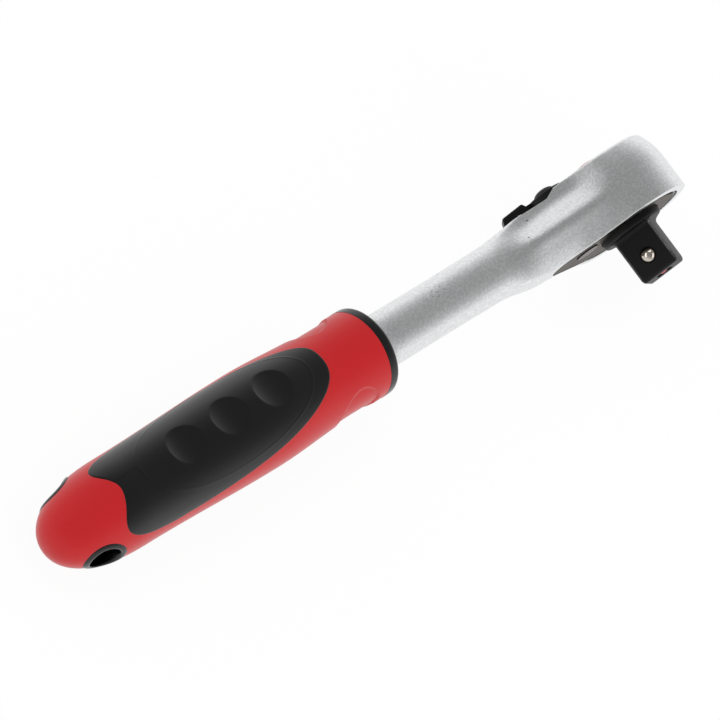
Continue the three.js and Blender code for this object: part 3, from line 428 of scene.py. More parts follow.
def polishedSteel():
    # bearing ball: mirror polish
    return startMaterial("polished bearing steel", {
        "Base Color": hexColour("C3BAB1"), "Metallic": 1.0, "Roughness": 0.05})[0]


def springSteel():
    # drawn wire: grey, half bright
    return startMaterial("drawn spring steel", {
        "Base Color": hexColour("74777B"), "Metallic": 1.0, "Roughness": 0.33})[0]


redLook = {"colour": "BC0810", "roughness": 0.33, "ior": 1.44, "grain": 0.5, "grainStrength": 0.3,
           "grainDepth": 0.01}
rubberLook = {"colour": "020203", "roughness": 0.2, "ior": 1.5, "grain": 0.4, "grainStrength": 0.3,
              "grainDepth": 0.01}


def moulded(name, look):
    # from a lightly textured mould: the polypropylene is an even red with a soft sheen, and the thermoplastic
    # rubber over the hard core is near black with a wide highlight
    material, tree, shader = startMaterial(name, {
        "Base Color": hexColour(look["colour"]), "Roughness": look["roughness"], "IOR": look["ior"]})
    addGrain(tree, shader, look["grain"], look["grainStrength"], look["grainDepth"])
    return material


finish = {"chrome": satinChrome(), "plate": groundSteel(), "ball": polishedSteel(),
          "wire": springSteel(), "red": moulded("moulded red polypropylene", redLook),
          "rubber": moulded("overmoulded black rubber", rubberLook)}
print("materials:", len(finish))

# Handle

handleLook = {
    "frontRadius": 13.9, "bellyRadius": 15.1, "waistRadius": 13.95,
    "shoulderX": -120.0, "bellyX": -149.0, "waistX": -200.0, "fullness": 2.3,
    "along": 300, "around": 192, "ringsToWaist": 0.72,
}
grips = {
    "turn": 9.0, "twist": 0.09, "midX": -168.0, "frontX": -126.3, "hornX": -209.4, "tongueX": -206.0,
    "wideX": -187.0, "halfAngle": 79.0, "upperAngle": 62.5, "hornShare": 0.557, "notch": 1.7, "upperBlunt": 3.3,
    "lowerBlunt": 2.7, "frontRound": 0.58, "hornRound": 2.4, "depth": 1.6, "proud": 0.25, "tuck": 0.25,
    "edgeRound": 0.6, "seatInset": 1.0, "seatRamp": 1.2, "along": 260, "across": 130, "evenSteps": 0.75,
}
dimples = {"first": -146.4, "pitch": 16.9, "count": 3, "radius": 6.2, "depth": 1.2, "rim": 0.5}
ovalLine = {"x": -164.9, "halfLength": 32.5, "halfArc": 15.0, "width": 0.45, "height": 0.06}
strip = {"half": 2.3, "depth": 0.1, "end": 0.6, "edge": 0.4}              # shallow band behind the oval line
pads = {"x": -118.6, "length": 16.6, "width": 19.0, "depth": 0.6, "edge": 0.7}
hangHole = {"x": -215.6, "radius": 4.6, "wall": 1.8, "sink": 0.2, "lip": 0.5, "lean": 0.11, "around": 96,
            "lipSteps": 12, "wallSteps": 8, "wallShare": 0.96}
shank = {"radius": 8.4, "waist": 0.15}
collarLip = {"over": 0.7, "proud": 0.06, "backRound": 0.05, "frontRound": 1.3, "boreRound": 0.4}


def handleRadius(x):
    # front cylinder, swelling to a belly, easing to a slight waist, then a superelliptic dome
    h = handleLook
    x = np.asarray(x, float)
    swell = partWay(x, h["shoulderX"], h["bellyX"])
    fall = partWay(x, h["bellyX"], h["waistX"])
    along = np.clip((h["waistX"] - x) / (h["waistX"] - buttX), 0, 1)
    dome = h["waistRadius"] * (1 - along ** h["fullness"]) ** (1 / h["fullness"])
    return np.where(x >= h["bellyX"], blend(h["frontRadius"], h["bellyRadius"], swell),
                    np.where(x >= h["waistX"], blend(h["bellyRadius"], h["waistRadius"], fall), dome))


def gripLimit(degrees):  # angle of the grip's edge on the same side of its middle line
    return np.where(degrees > 0, grips["upperAngle"], grips["halfAngle"])


def gripTurn(x):  # angle of the grip's middle line, which leans a little along the handle
    return grips["turn"] + grips["twist"] * (x - grips["midX"])


def gripEnds(degrees):
    # front and rear ends of a side grip at an angle from its middle line
    g = grips
    share = np.minimum(1, np.abs(degrees) / gripLimit(degrees))
    horn = share / g["hornShare"]
    blunt = np.where(degrees > 0, g["upperBlunt"], g["lowerBlunt"])
    front = blend(g["frontX"], g["wideX"], 1 - (1 - share ** blunt) ** g["frontRound"])
    tail = np.clip((share - g["hornShare"]) / (1 - g["hornShare"]), 0, 1)
    tongue = blend(g["tongueX"], g["hornX"], np.sin(np.pi / 2 * np.minimum(1, horn) ** g["notch"]))
    outer = blend(g["hornX"], g["wideX"], 1 - np.sqrt(1 - tail ** g["hornRound"]))
    return front, np.where(horn < 1, tongue, outer)


def endSlant(degrees, radius):
    # distance along the handle to a grip's end, as a multiple of the distance square to its outline
    g, probe = grips, 0.3
    middle = np.clip(degrees, -g["halfAngle"] + probe, g["upperAngle"] - probe)
    arc = np.radians(2 * probe) * radius
    return [np.hypot(1, (ahead - before) / arc)
            for ahead, before in zip(gripEnds(middle + probe), gripEnds(middle - probe))]


def underGrips(x, angle):
    # depth of the seats that the side grips fill, inside their outlines
    g = grips
    depth = np.zeros_like(x)
    for side in (1, -1):
        degrees = np.degrees(np.arctan2(np.sin(angle), side * np.cos(angle))) - gripTurn(x)
        front, rear = gripEnds(np.clip(degrees, -g["halfAngle"], g["upperAngle"]))
        across = np.radians(gripLimit(degrees) - np.abs(degrees)) * handleRadius(x)
        atFront, atRear = endSlant(degrees, handleRadius(x))
        inside = np.minimum(np.minimum((front - x) / atFront, (x - rear) / atRear), across)
        depth = np.maximum(depth, g["depth"] * ease((inside - g["seatInset"]) / g["seatRamp"]))
    return depth


def makeHandle():
    # rings along the handle; the radius dips inside the two oval thumb pads and under the grips
    h = handleLook
    t, bendT = np.linspace(0, 1, h["along"]), h["ringsToWaist"]
    straight = blend(handleBackX, h["waistX"], t / bendT)
    domed = blend(h["waistX"], buttX, np.sin(np.pi / 2 * np.clip((t - bendT) / (1 - bendT), 0, 1)))
    x = np.where(t < bendT, straight, domed)
    angle = np.linspace(0, 2 * np.pi, h["around"], endpoint=False)
    gridX, gridA = np.meshgrid(x, angle, indexing="ij")
    radius = handleRadius(gridX)
    across = radius * np.cos(gridA)
    span = np.hypot((gridX - pads["x"]) / (pads["length"] / 2), across / (pads["width"] / 2))
    inside = 1 - ease((span - 1) * (pads["width"] / 2) / pads["edge"] + 1)
    radius = radius - pads["depth"] * inside - underGrips(gridX, gridA)
    points = np.stack([gridX, radius * np.sin(gridA), radius * np.cos(gridA)], -1).reshape(-1, 3)
    points = np.concatenate([points, [[handleBackX, 0, 0]]])
    front = fanFaces(len(points) - 1, np.arange(h["around"]))
    shell = buildMesh("redHandle", points, [gridFaces(h["along"], h["around"], closeCols=True), front])
    reach = h["bellyRadius"] + past
    mouth = disc("hole cutter", hangHole["radius"] + hangHole["wall"], -reach, reach, hangHole["x"])
    transformShape(mouth, Matrix(((1, 0, 0, 0), (0, 1, 0, 0), (0, -hangHole["lean"], 1, 0), (0, 0, 0, 1))))
    return cutAway(shell, [mouth])


def makeGrip(name, side):
    # patch of the handle's surface between the outline's ends, with a rolled edge, dimples and a raised oval
    g = grips
    v = np.sin(np.pi / 2 * np.linspace(-1, 1, g["across"]))
    u = np.linspace(0, 1, g["along"])
    u = g["evenSteps"] * u + (1 - g["evenSteps"]) * (0.5 - 0.5 * np.cos(np.pi * u))
    degrees = v * gripLimit(v)
    front, rear = gripEnds(degrees)
    x = blend(front[:, None], rear[:, None], u[None, :])
    angle = np.radians(gripTurn(x) + degrees[:, None])
    surface = handleRadius(x)
    arcSide = np.radians(degrees)[:, None] * surface          # distance round the handle from the middle line
    atFront, atRear = endSlant(degrees, handleLook["bellyRadius"])
    reach = (front - rear)[:, None] * np.minimum(u / atFront[:, None], (1 - u) / atRear[:, None])
    edge = np.minimum(reach, np.radians(gripLimit(degrees))[:, None] * surface - np.abs(arcSide))
    roll = np.clip(1 - edge / g["edgeRound"], 0, 1)
    height = g["proud"] - (g["proud"] + g["tuck"]) * (1 - np.sqrt(1 - roll ** 2)) + gripRelief(x, arcSide)
    outer = np.stack([x, (surface + height) * np.sin(angle), side * (surface + height) * np.cos(angle)], -1)
    under = surface - g["depth"]
    inner = np.stack([x, under * np.sin(angle), side * under * np.cos(angle)], -1)
    rows, cols = x.shape
    n = rows * cols
    ids = np.arange(n).reshape(rows, cols)
    rim = np.concatenate([ids[0, :-1], ids[:-1, -1], ids[-1, :0:-1], ids[:0:-1, 0]])
    wall = np.stack([rim, np.roll(rim, -1), np.roll(rim, -1) + n, rim + n], -1)
    points = np.concatenate([outer.reshape(-1, 3), inner.reshape(-1, 3)])
    return buildMesh(name, points, [gridFaces(rows, cols), gridFaces(rows, cols) + n, wall], 50)


def gripRelief(x, arcSide):
    # paraboloid dimples, a ridge along an oval and a shallow band from the oval to the notch
    height = np.zeros_like(x)
    for i in range(dimples["count"]):
        away = np.hypot(x - (dimples["first"] - i * dimples["pitch"]), arcSide)
        cap = dimples["depth"] * np.maximum(0, 1 - (away / dimples["radius"]) ** 2)
        height -= cap * ease((dimples["radius"] - away) / dimples["rim"])
    fromX, length, arc = x - ovalLine["x"], ovalLine["halfLength"], ovalLine["halfArc"]
    ring = np.hypot(fromX / length, arcSide / arc)
    slope = np.hypot(fromX / length ** 2, arcSide / arc ** 2) / np.maximum(ring, 0.1)
    fromLine = np.abs(ring - 1) / np.maximum(slope, 1e-3)
    height += ovalLine["height"] * ease(1 - fromLine / ovalLine["width"])
    behind = ease((-length - fromX) / strip["end"])
    return height - strip["depth"] * behind * ease((strip["half"] - np.abs(arcSide)) / strip["edge"])


def makeLiner():
    # sleeve round the hole whose lips follow the handle's surface at both mouths
    hole = hangHole
    r0, r1 = hole["radius"], hole["radius"] + hole["wall"]
    turn = np.linspace(0, 2 * np.pi, hole["around"], endpoint=False)[None, :]
    lip = np.radians(np.linspace(180, 0, hole["lipSteps"] + 1))
    bulge = (r0 + r1) / 2 + (r1 - r0) / 2 * np.cos(lip)
    rise = hole["lip"] * np.sin(lip)
    level = np.linspace(-hole["wallShare"], hole["wallShare"], hole["wallSteps"] + 1)
    wall, mouth = np.ones_like(level), np.ones_like(lip)
    radius = np.concatenate([r0 * wall, bulge, r1 * wall, bulge[::-1]])[:, None]       # once round the section
    reach = np.concatenate([level, mouth, -level, -mouth])[:, None]
    lift = np.concatenate([0 * wall, rise, 0 * wall, -rise[::-1]])[:, None]
    px, straightZ = hole["x"] + radius * np.cos(turn), radius * np.sin(turn)
    straight = np.sqrt(np.maximum(handleRadius(px) ** 2 - straightZ ** 2, 1))
    pz = straightZ - hole["lean"] * reach * straight
    top = np.sqrt(np.maximum(handleRadius(px) ** 2 - pz ** 2, 1)) - hole["sink"]
    points = np.stack([px, top * reach + lift, pz], -1)
    faces = gridFaces(len(points), hole["around"], closeRows=True, closeCols=True)
    return buildMesh("holeLiner", points.reshape(-1, 3), [faces], 60)


def makeCollar():
    # ring with a rolled front edge round the shank, over the front of the red shell
    inner, backX = shank["radius"] + clearance, handleBackX - collarLip["over"]
    outer = handleLook["frontRadius"] + collarLip["proud"]
    corners = [(inner, backX), (outer, backX), (outer, collarFrontX), (inner, collarFrontX), (inner, backX)]
    rounds = [collarLip[key] for key in ("backRound", "frontRound", "boreRound")]
    return revolve("frontCollar", roundedProfile(corners, rounds), 128, axis="x")


wear(makeHandle(), "body", "handle_body", finish["red"])
wear(makeGrip("upperSideGrip", 1), "body", "side_grip_upper", finish["rubber"])
wear(makeGrip("lowerSideGrip", -1), "body", "side_grip_lower", finish["rubber"])
wear(makeLiner(), "body", "hang_hole_liner", finish["rubber"])
wear(makeCollar(), "body", "front_collar", finish["rubber"])
print("handle: shell, two grips, collar and liner")

# Head and shank

head = {
    "radius": 20.4, "above": 11.1, "below": 9.6, "leverRound": 0.9, "driveRound": 0.4, "faceStep": 0.4,
    "crownStart": 1.5, "crownRadius": 18.0, "tangent": 30.0, "neckX": -54.0, "flatTailX": -37.0, "rampX": -17.0,
    "topAtTail": 0.38, "insideHandle": 10.0, "shankStations": 40, "stations": 230, "sweep": 150,
    "wallSteps": 44,
}
neck = {
    "ridgeLow": -1.2, "ridgeHigh": 0.2, "swell": 2.6, "soft": 1.6, "startX": -3.0, "fullX": -20.0,
    "crownLoss": 0.8, "draftHead": 32.5, "draftShank": 37.0, "draftStartX": -17.0, "draftFullX": -30.0,
    "slope": 44.5, "slopeStartX": -3.0, "slopeFullX": -16.0, "creaseHeadY": 7.2, "creaseShankY": 4.2,
    "roundTailX": -33.0, "roundRise": 6.0, "bellyY": -5.0, "belly": 0.04, "bellyStartX": -22.0, "bellyRun": 6.0,
}
plate = {"radius": 16.6, "tailX": -26.4, "tailRadius": 5.6, "thickness": 2.4, "sink": 0.3, "gap": 0.3,
         "flush": 0.05, "edge": 0.18, "ringWire": 1.0, "ringBite": 0.5, "ringSpan": 128.0, "ringSteps": 120}
lever = {
    "x": -18.5, "seat": 9.3, "lift": 0.3, "swing": 60.0, "hubRadius": 6.2, "hubThickness": 2.3, "hubRound": 0.6,
    "domeRadius": 3.5, "domeHeight": 1.6, "domeFoot": 0.4, "stemRadius": 3.7, "stemProud": 0.3,
    "stemChamfer": 0.15, "stemFit": 0.12, "tabStart": 7.6, "tabReach": 15.7, "tabRoot": 8.0,
    "tabWidth": 10.5, "tabDraft": 0.14,
    "tabStep": 0.7, "tabRise": 1.3, "tabFall": 0.4, "tabHidden": 0.75, "tabRounds": (0.4, 0.6, 0.6, 0.2),
    "tipLean": 0.75, "tipFoot": 0.5, "tipEnd": 0.3, "tipRun": 2.2, "tipRound": 1.2, "boxiness": 0.3,
    "along": 130, "around": 64, "room": 0.25, "tipRoom": 0.6, "ramp": 78.0,
}
button = {"radius": 5.0, "proud": 1.42, "crown": 0.9, "gap": 0.3, "lowY": 8.0, "edgeRound": 0.5, "sink": 3.0}
cavity = {"floor": 5.2, "roof": 2.0, "pawlX": -14.0, "pawlRadius": 10.1, "pawlFloor": 3.4}


def wallProfile():
    # side wall from the drive face to the lever face: heights and how far each lies inside the plan outline
    def crown(y):
        return np.maximum(0, y - head["crownStart"]) ** 2 / (2 * head["crownRadius"])

    lowY, highY = head["driveRound"] - head["below"], head["above"] - head["leverRound"]
    lean = math.atan((highY - head["crownStart"]) / head["crownRadius"])
    edge = head["leverRound"] / (1 - math.sin(lean))
    turn = np.radians(np.linspace(0, 90, 5))
    low = np.stack([lowY - head["driveRound"] * np.cos(turn), head["driveRound"] * (1 - np.sin(turn))], -1)
    y = np.linspace(lowY, highY, head["wallSteps"])[1:-1]
    wall = np.stack([y, crown(y)], -1)
    turn = np.linspace(lean, np.pi / 2, 9)
    high = np.stack([highY + edge * (np.sin(turn) - math.sin(lean)),
                     crown(highY) + edge * (math.cos(lean) - np.cos(turn))], -1)
    lowFlat = [[-head["below"], low[0, 1] + head["faceStep"]]]
    highFlat = [[head["above"], high[-1, 1] + head["faceStep"]]]
    return np.concatenate([lowFlat, low, wall, high, highFlat])


def bend(u):  # 0 before the bend, u after it, a parabola between
    w = neck["soft"]
    return np.where(u > w, u, np.clip(u + w, 0, None) ** 2 / (4 * w))


def neckInset(x, y):
    # how far the neck lies inside its ridge: a straight draft down to the drive face, a slope up to the crease
    drafted = partWay(x, neck["draftStartX"], neck["draftFullX"])
    draft = np.radians(blend(neck["draftHead"], neck["draftShank"], drafted))
    creaseY = blend(neck["creaseHeadY"], neck["creaseShankY"], partWay(x, -head["radius"], head["neckX"]))
    rise = bend(y - neck["ridgeHigh"]) - bend(y - creaseY)
    hollow = partWay(x, neck["slopeStartX"], neck["slopeFullX"]) * math.tan(math.radians(neck["slope"]))
    full = partWay(x, neck["bellyStartX"], neck["bellyStartX"] - neck["bellyRun"])
    belly = neck["belly"] * full * np.maximum(0, neck["bellyY"] - y) ** 2
    return np.tan(draft) * bend(neck["ridgeLow"] - y) + belly + hollow * rise


def planHalfWidth(x, inset):
    # round end, then a cubic flare that leaves the circle at its tangent and runs out along the shank
    tangent = math.radians(head["tangent"])
    tangentX, tangentZ = -head["radius"] * math.sin(tangent), head["radius"] * math.cos(tangent)
    span = tangentX - head["neckX"]
    t = np.clip((x - head["neckX"]) / span, 0, 1)
    flare = blend(shank["radius"], tangentZ, ease(t)) + math.tan(tangent) * span * (t ** 3 - t ** 2)
    flare = flare - inset * (1 + (1 / math.cos(tangent) - 1) * t)
    circle = np.sqrt(np.maximum((head["radius"] - inset) ** 2 - x ** 2, 0))
    return np.where(x >= tangentX, circle, flare)


def makeForging():
    # loft from the shank to the drive axis, where half a turn of the wall closes the round end
    profile = wallProfile()
    k, neckX = len(profile), head["neckX"]
    shankX = np.linspace(collarFrontX - head["insideHandle"], neckX, head["shankStations"])[:-1]
    x = np.concatenate([shankX, np.linspace(neckX, 0, head["stations"] - len(shankX))])
    station = x[:, None]
    boxy, wide = partWay(station, neckX, head["flatTailX"]), partWay(station, neckX, -head["radius"])
    waist = np.sin(np.pi * np.clip((neckX - station) / (neckX - collarFrontX), 0, 1))
    radius = shank["radius"] - shank["waist"] * waist
    ramp = partWay(station, head["flatTailX"], head["rampX"])
    top = blend(radius, head["above"], head["topAtTail"] * boxy + (1 - head["topAtTail"]) * ramp)
    low = blend(radius, head["below"], boxy)
    y, inset = profile[:, 0][None, :], profile[:, 1][None, :]
    angle = np.radians(-90 + 180 * (np.arange(k) + 1) / (k + 1))[None, :]
    level = np.where(y > 0, y / head["above"] * top, y / head["below"] * low)
    drafted = boxy * partWay(station, neck["startX"], neck["fullX"])
    half = planHalfWidth(station, inset * wide * (1 - neck["crownLoss"] * drafted))
    half = half + drafted * (neck["swell"] - neckInset(station, level))
    roundTop = partWay(station, neckX, neck["roundTailX"])                 # the lever side rounds off sooner
    square = blend(boxy, roundTop, ease(y / neck["roundRise"]))
    sideY = (1 - square) * radius * np.sin(angle) + square * level
    sideZ = (1 - square) * radius * np.cos(angle) + square * half
    full = np.broadcast_to(station, sideY.shape)
    right = np.stack([full, sideY, sideZ], -1)
    left = np.stack([full, sideY, -sideZ], -1)[:, ::-1]
    bottom = np.stack([station, -low, 0 * station], -1)
    crest = np.stack([station, top, 0 * station], -1)
    rings = np.concatenate([bottom, right, crest, left], 1)
    count = rings.shape[1]
    last = (len(x) - 1) * count
    turn = np.pi * np.arange(1, head["sweep"]) / head["sweep"]
    out = head["radius"] - profile[:, 1]
    sweep = np.stack([out[None] * np.sin(turn)[:, None], 0 * turn[:, None] + profile[:, 0][None],
                      out[None] * np.cos(turn)[:, None]], -1)
    points = np.concatenate([rings.reshape(-1, 3), sweep.reshape(-1, 3)])
    swept = len(x) * count + np.arange(len(sweep) * k).reshape(-1, k)
    ids = np.concatenate([[last + 1 + np.arange(k)], swept, [last + count - 1 - np.arange(k)]])
    turned = np.stack([ids[:-1, :-1], ids[1:, :-1], ids[1:, 1:], ids[:-1, 1:]], -1).reshape(-1, 4)
    lowFan = np.stack([np.full(len(ids) - 1, last), ids[:-1, 0], ids[1:, 0]], -1)
    highFan = np.stack([np.full(len(ids) - 1, last + 1 + k), ids[1:, -1], ids[:-1, -1]], -1)
    faces = [gridFaces(len(x), count, closeCols=True), turned, lowFan, highFan, [np.arange(count)]]
    return buildMesh("forgedHeadAndShank", points, faces)


def plateOutline(margin, steps=60):
    # two arcs and their tangents
    lean = math.degrees(math.acos((plate["radius"] - plate["tailRadius"]) / -plate["tailX"]))
    front = arcPoints(0, plate["radius"] + margin, -180 + lean, 180 - lean, 2 * steps)
    tail = arcPoints(plate["tailX"], plate["tailRadius"] + margin, 180 - lean, 180 + lean, steps)
    return np.concatenate([front, tail])


def fanCutter(top):
    # pocket round the lever's tab at both ends of its swing; its two end faces lean back towards the hub
    swing, ramp = math.radians(lever["swing"] / 2), math.radians(lever["ramp"])
    share = 0.5 - lever["tabDraft"]                              # of the tab's width, at its narrow underside
    side = np.array([[lever["tabStart"], share * lever["tabRoot"] + lever["room"]],
                     [lever["tabReach"] + lever["tipRoom"], share * lever["tabWidth"] + lever["room"]]])
    edge = np.stack([side[:, 0] * math.cos(swing) - side[:, 1] * math.sin(swing),
                     side[:, 0] * math.sin(swing) + side[:, 1] * math.cos(swing)], -1)
    lean = math.degrees(math.atan2(edge[1, 1], edge[1, 0]))
    outer = np.hypot(*edge[1])
    halfWay = outer / 2 * np.array([math.cos(ramp), math.sin(ramp)])
    rings = []
    for near, angle in ((edge[0], lean), (halfWay, lever["ramp"])):
        arc = arcPoints(0, outer, angle, -angle, 48)
        plan = np.concatenate([[near], arc, [near * [1, -1]], [[0, 0]]])
        rings.append(np.stack([lever["x"] - plan[:, 0], 0 * plan[:, 0], plan[:, 1]], -1))
    n = len(rings[0])
    points = np.concatenate([rings[0], rings[1], rings[1]])
    points[:, 1] = np.repeat([lever["seat"], head["above"], top], n)
    return buildMesh("fan cutter", points, [gridFaces(3, n, closeCols=True), *endCaps(3, n)])


def makeHead():
    # the forging less the plate's recess, the lever's pocket, the button's hole and the mechanism's room
    faceY, top = -head["below"], head["above"] + past
    plateInner = faceY + plate["sink"] + plate["thickness"]
    cutters = [
        prism("recess cutter", plateOutline(plate["gap"]), faceY - past, plateInner + plate["gap"]),
        ringGroove("groove cutter", plateOuterY - clearance),
        fanCutter(top),
        disc("hub cutter", lever["hubRadius"] + clearance, lever["seat"], top, lever["x"]),
        disc("button cutter", button["radius"] + button["gap"], head["above"] - button["sink"], top),
        disc("gear cutter", drive["tipRadius"] + clearance, plateInner, cavity["floor"]),
        disc("pawl cutter", cavity["pawlRadius"], plateInner, cavity["pawlFloor"], cavity["pawlX"]),
        disc("journal cutter", drive["journalRadius"] + clearance, 0, head["above"] - cavity["roof"]),
        disc("stem bore cutter", lever["stemRadius"] + clearance, plateInner, top, lever["x"], 64),
    ]
    made = cutAway(makeForging(), cutters, 30)
    even = made.modifiers.new("even normals", "WEIGHTED_NORMAL")
    even.keep_sharp = True
    return made


def ringGroove(name, low):
    # room for the snap ring round the front, from a height up to just above its wire
    outer = plate["radius"] + plate["ringBite"] + clearance
    inner = plate["radius"] + plate["ringBite"] - plate["ringWire"] - clearance
    high = plateOuterY + plate["ringWire"] + clearance
    count = plate["ringSteps"] + 1
    angle = np.radians(np.linspace(-plate["ringSpan"], plate["ringSpan"], count))[:, None]
    radius, height = np.array([inner, outer, outer, inner])[None], np.array([low, low, high, high])[None]
    points = np.stack([radius * np.cos(angle), height + 0 * angle, radius * np.sin(angle)], -1).reshape(-1, 3)
    return buildMesh(name, points, [gridFaces(count, 4, closeCols=True), *endCaps(count, 4)])


def makePlate():
    # pear plate with the collar's hole and the stem's hole
    faceY = -head["below"] + plate["flush"]
    innerY = plateOuterY + plate["thickness"]
    made = prism("coverPlate", plateOutline(0), faceY, innerY)
    collarHole = disc("collar cutter", drive["collarRadius"] + clearance, faceY - past, innerY + past)
    stemRadius = lever["stemRadius"] + lever["stemFit"]
    stemHole = disc("stem cutter", stemRadius, faceY - past, innerY + past, lever["x"], 64)
    cutAway(made, [collarHole, stemHole, ringGroove("rabbet cutter", faceY - past)])
    edge = made.modifiers.new("eased edge", "BEVEL")
    edge.width = plate["edge"] / 1000
    edge.segments = 2
    edge.limit_method = "ANGLE"
    return made


# Square drive

drive = {
    "square": 12.7, "length": 15.2, "corner": 0.9, "endRound": 1.6, "endInset": 0.85, "endSharpen": 0.2,
    "turn": 45.0, "collarRadius": 10.05, "collarProud": 2.3, "collarRound": 0.9, "fillet": 1.6,
    "filletReach": 9.6, "recessRadius": 3.4, "recessDepth": 1.2, "recessFlare": 0.25, "recessLip": 0.2,
    "boreRadius": 2.55,
    "boreDepth": 9.0, "teeth": 72, "tipRadius": 11.9, "toothDepth": 0.8, "toothFoot": 0.76, "toothTip": 0.2,
    "gearHeight": 10.4, "journalRadius": 7.4, "journalTop": 8.9, "overlap": 1.0,
}
ball = {"radius": 2.5, "proud": 1.5, "fromEnd": 6.4, "mouth": 2.35, "play": 0.06, "flare": 0.3,
        "flareDepth": 0.12}
plateOuterY = -head["below"] + plate["sink"]
collarFaceY = plateOuterY - drive["collarProud"]
squareEndY = collarFaceY - drive["length"]
gearLowY = plateOuterY + plate["thickness"] + plate["gap"]
ballDirection = np.array([-math.sin(math.radians(drive["turn"])), 0, math.cos(math.radians(drive["turn"]))])


def squareRing(y, half, corner, steps=8):
    # rounded square at a height, turned to the drive's rest angle; every ring has 4 * (steps + 1) points
    turn = np.concatenate([np.pi / 2 * (s + np.linspace(0, 1, steps + 1)) for s in range(4)])
    lean = np.repeat(np.pi / 2 * (np.arange(4) + 0.5), steps + 1)
    centre = (half - corner) * math.sqrt(2)
    px = centre * np.cos(lean) + corner * np.cos(turn)
    pz = centre * np.sin(lean) + corner * np.sin(turn)
    swing = math.radians(drive["turn"])
    return np.stack([px * math.cos(swing) - pz * math.sin(swing), np.full(len(px), y),
                     px * math.sin(swing) + pz * math.cos(swing)], -1)


def circleRing(y, radius, steps=8):
    # circle with its points at the same bearings as the square's ring
    ring = squareRing(y, drive["square"] / 2, drive["corner"], steps)
    away = np.hypot(ring[:, 0], ring[:, 2])
    return np.stack([ring[:, 0] / away * radius, ring[:, 1], ring[:, 2] / away * radius], -1)


def makeSpindle():
    # square with a rounded end and a stepped bore, a collar, and the gear and journal inside the head
    half, recessY = drive["square"] / 2, squareEndY + drive["recessDepth"]
    rings = [squareRing(y, half, drive["corner"]) for y in (gearLowY, collarFaceY + clearance)]
    for turn in np.radians(np.linspace(0, 90, 10)):                                # hollow under the collar
        grow = drive["fillet"] * (1 - math.sin(turn))
        level = collarFaceY - drive["fillet"] * (1 - math.cos(turn))
        ring = squareRing(level, half + grow, drive["corner"] + grow)
        ring[:, [0, 2]] *= np.minimum(1, drive["filletReach"] / np.hypot(ring[:, 0], ring[:, 2]))[:, None]
        rings.append(ring)
    rings.append(squareRing(squareEndY + drive["endRound"], half, drive["corner"]))
    for turn in np.radians(np.linspace(0, 90, 9))[1:]:                             # round end
        inset = drive["endInset"] * (1 - math.cos(turn))
        corner = drive["corner"] - drive["endSharpen"] * (1 - math.cos(turn))
        rings.append(squareRing(squareEndY + drive["endRound"] * (1 - math.sin(turn)), half - inset, corner))
    rings += [circleRing(squareEndY, drive["recessRadius"] + drive["recessFlare"]),
              circleRing(squareEndY + drive["recessLip"], drive["recessRadius"]),
              circleRing(recessY, drive["recessRadius"]), circleRing(recessY, drive["boreRadius"]),
              circleRing(squareEndY + drive["boreDepth"], drive["boreRadius"])]
    n = len(rings[0])
    faces = [gridFaces(len(rings), n, closeCols=True), *endCaps(len(rings), n)]
    square = buildMesh("driveSpindle", np.concatenate(rings), faces, 30)
    cutAway(square, [ballCutter(half)], 30)
    inner = half - drive["overlap"]
    collar = revolve("collar", roundedProfile(
        [(inner, collarFaceY), (drive["collarRadius"], collarFaceY), (drive["collarRadius"], gearLowY),
         (inner, gearLowY), (inner, collarFaceY)], [drive["collarRound"], 0, 0], 8), 128)
    journal = revolve("journal", [
        (half, gearLowY), (drive["journalRadius"], gearLowY), (drive["journalRadius"], drive["journalTop"]),
        (half, drive["journalTop"]), (half, gearLowY)], 96)
    return joinMeshes(square, collar, gearRing(), journal)


def ballCutter(half):
    # hole for the ball, flared where it leaves the square's side
    reach, hole, mouth = half + drive["overlap"], ball["mouth"] + ball["play"], ball["mouth"] + ball["flare"]
    made = revolve("ball cutter", [(0, 0), (hole, 0), (hole, half - ball["flareDepth"]),
                                   (mouth, half + ball["flareDepth"]), (mouth, reach), (0, reach)], 64)
    aim = Vector((0, 1, 0)).rotation_difference(Vector(ballDirection)).to_matrix().to_4x4()
    transformShape(made, Matrix.Translation((0, (squareEndY + ball["fromEnd"]) / 1000, 0)) @ aim)
    return made


def gearRing():
    # straight-sided teeth, one at the pawl's side of the gear
    pitch = 2 * np.pi / drive["teeth"]
    share = np.array([-drive["toothFoot"], -drive["toothTip"], drive["toothTip"], drive["toothFoot"]]) / 2
    radius = np.array([drive["tipRadius"] - drive["toothDepth"], drive["tipRadius"]])[[0, 1, 1, 0]]
    angle = (np.pi + pitch * (np.arange(drive["teeth"])[:, None] + share[None])).ravel()
    radius = np.tile(radius, drive["teeth"])
    outline = np.stack([radius * np.cos(angle), radius * np.sin(angle)], -1)
    return prism("gear", outline, gearLowY, gearLowY + drive["gearHeight"], 20)


def makeBall():
    # sphere of latitude and longitude rings, on the ball's side of the square
    lat = np.radians(np.linspace(-90, 90, 49))
    curve = ball["radius"] * np.stack([np.cos(lat), np.sin(lat)], -1)
    made = revolve("detentBall", curve, 96, smoothAngle=180)
    out = drive["square"] / 2 + ball["proud"] - ball["radius"]
    shift = (ballDirection * out + np.array([0, squareEndY + ball["fromEnd"], 0])) / 1000
    transformShape(made, Matrix.Translation(Vector(shift)))
    return made


wear(makeHead(), "body", "ratchet_body", finish["chrome"])
wear(makePlate(), "body", "cover_plate", finish["plate"])
# the square's edges are painted paler: a painted highlight together with rubbed wear
finish["square"] = blackPhosphate("phosphated steel, edge highlight and wear", squareEdgeHighlightAndWear)
wear(makeSpindle(), "drive", "drive_spindle", finish["square"])
steelBall = wear(makeBall(), "ball", "detent_ball", finish["ball"])
print("head, cover plate and square drive")

# Reversing lever and release button


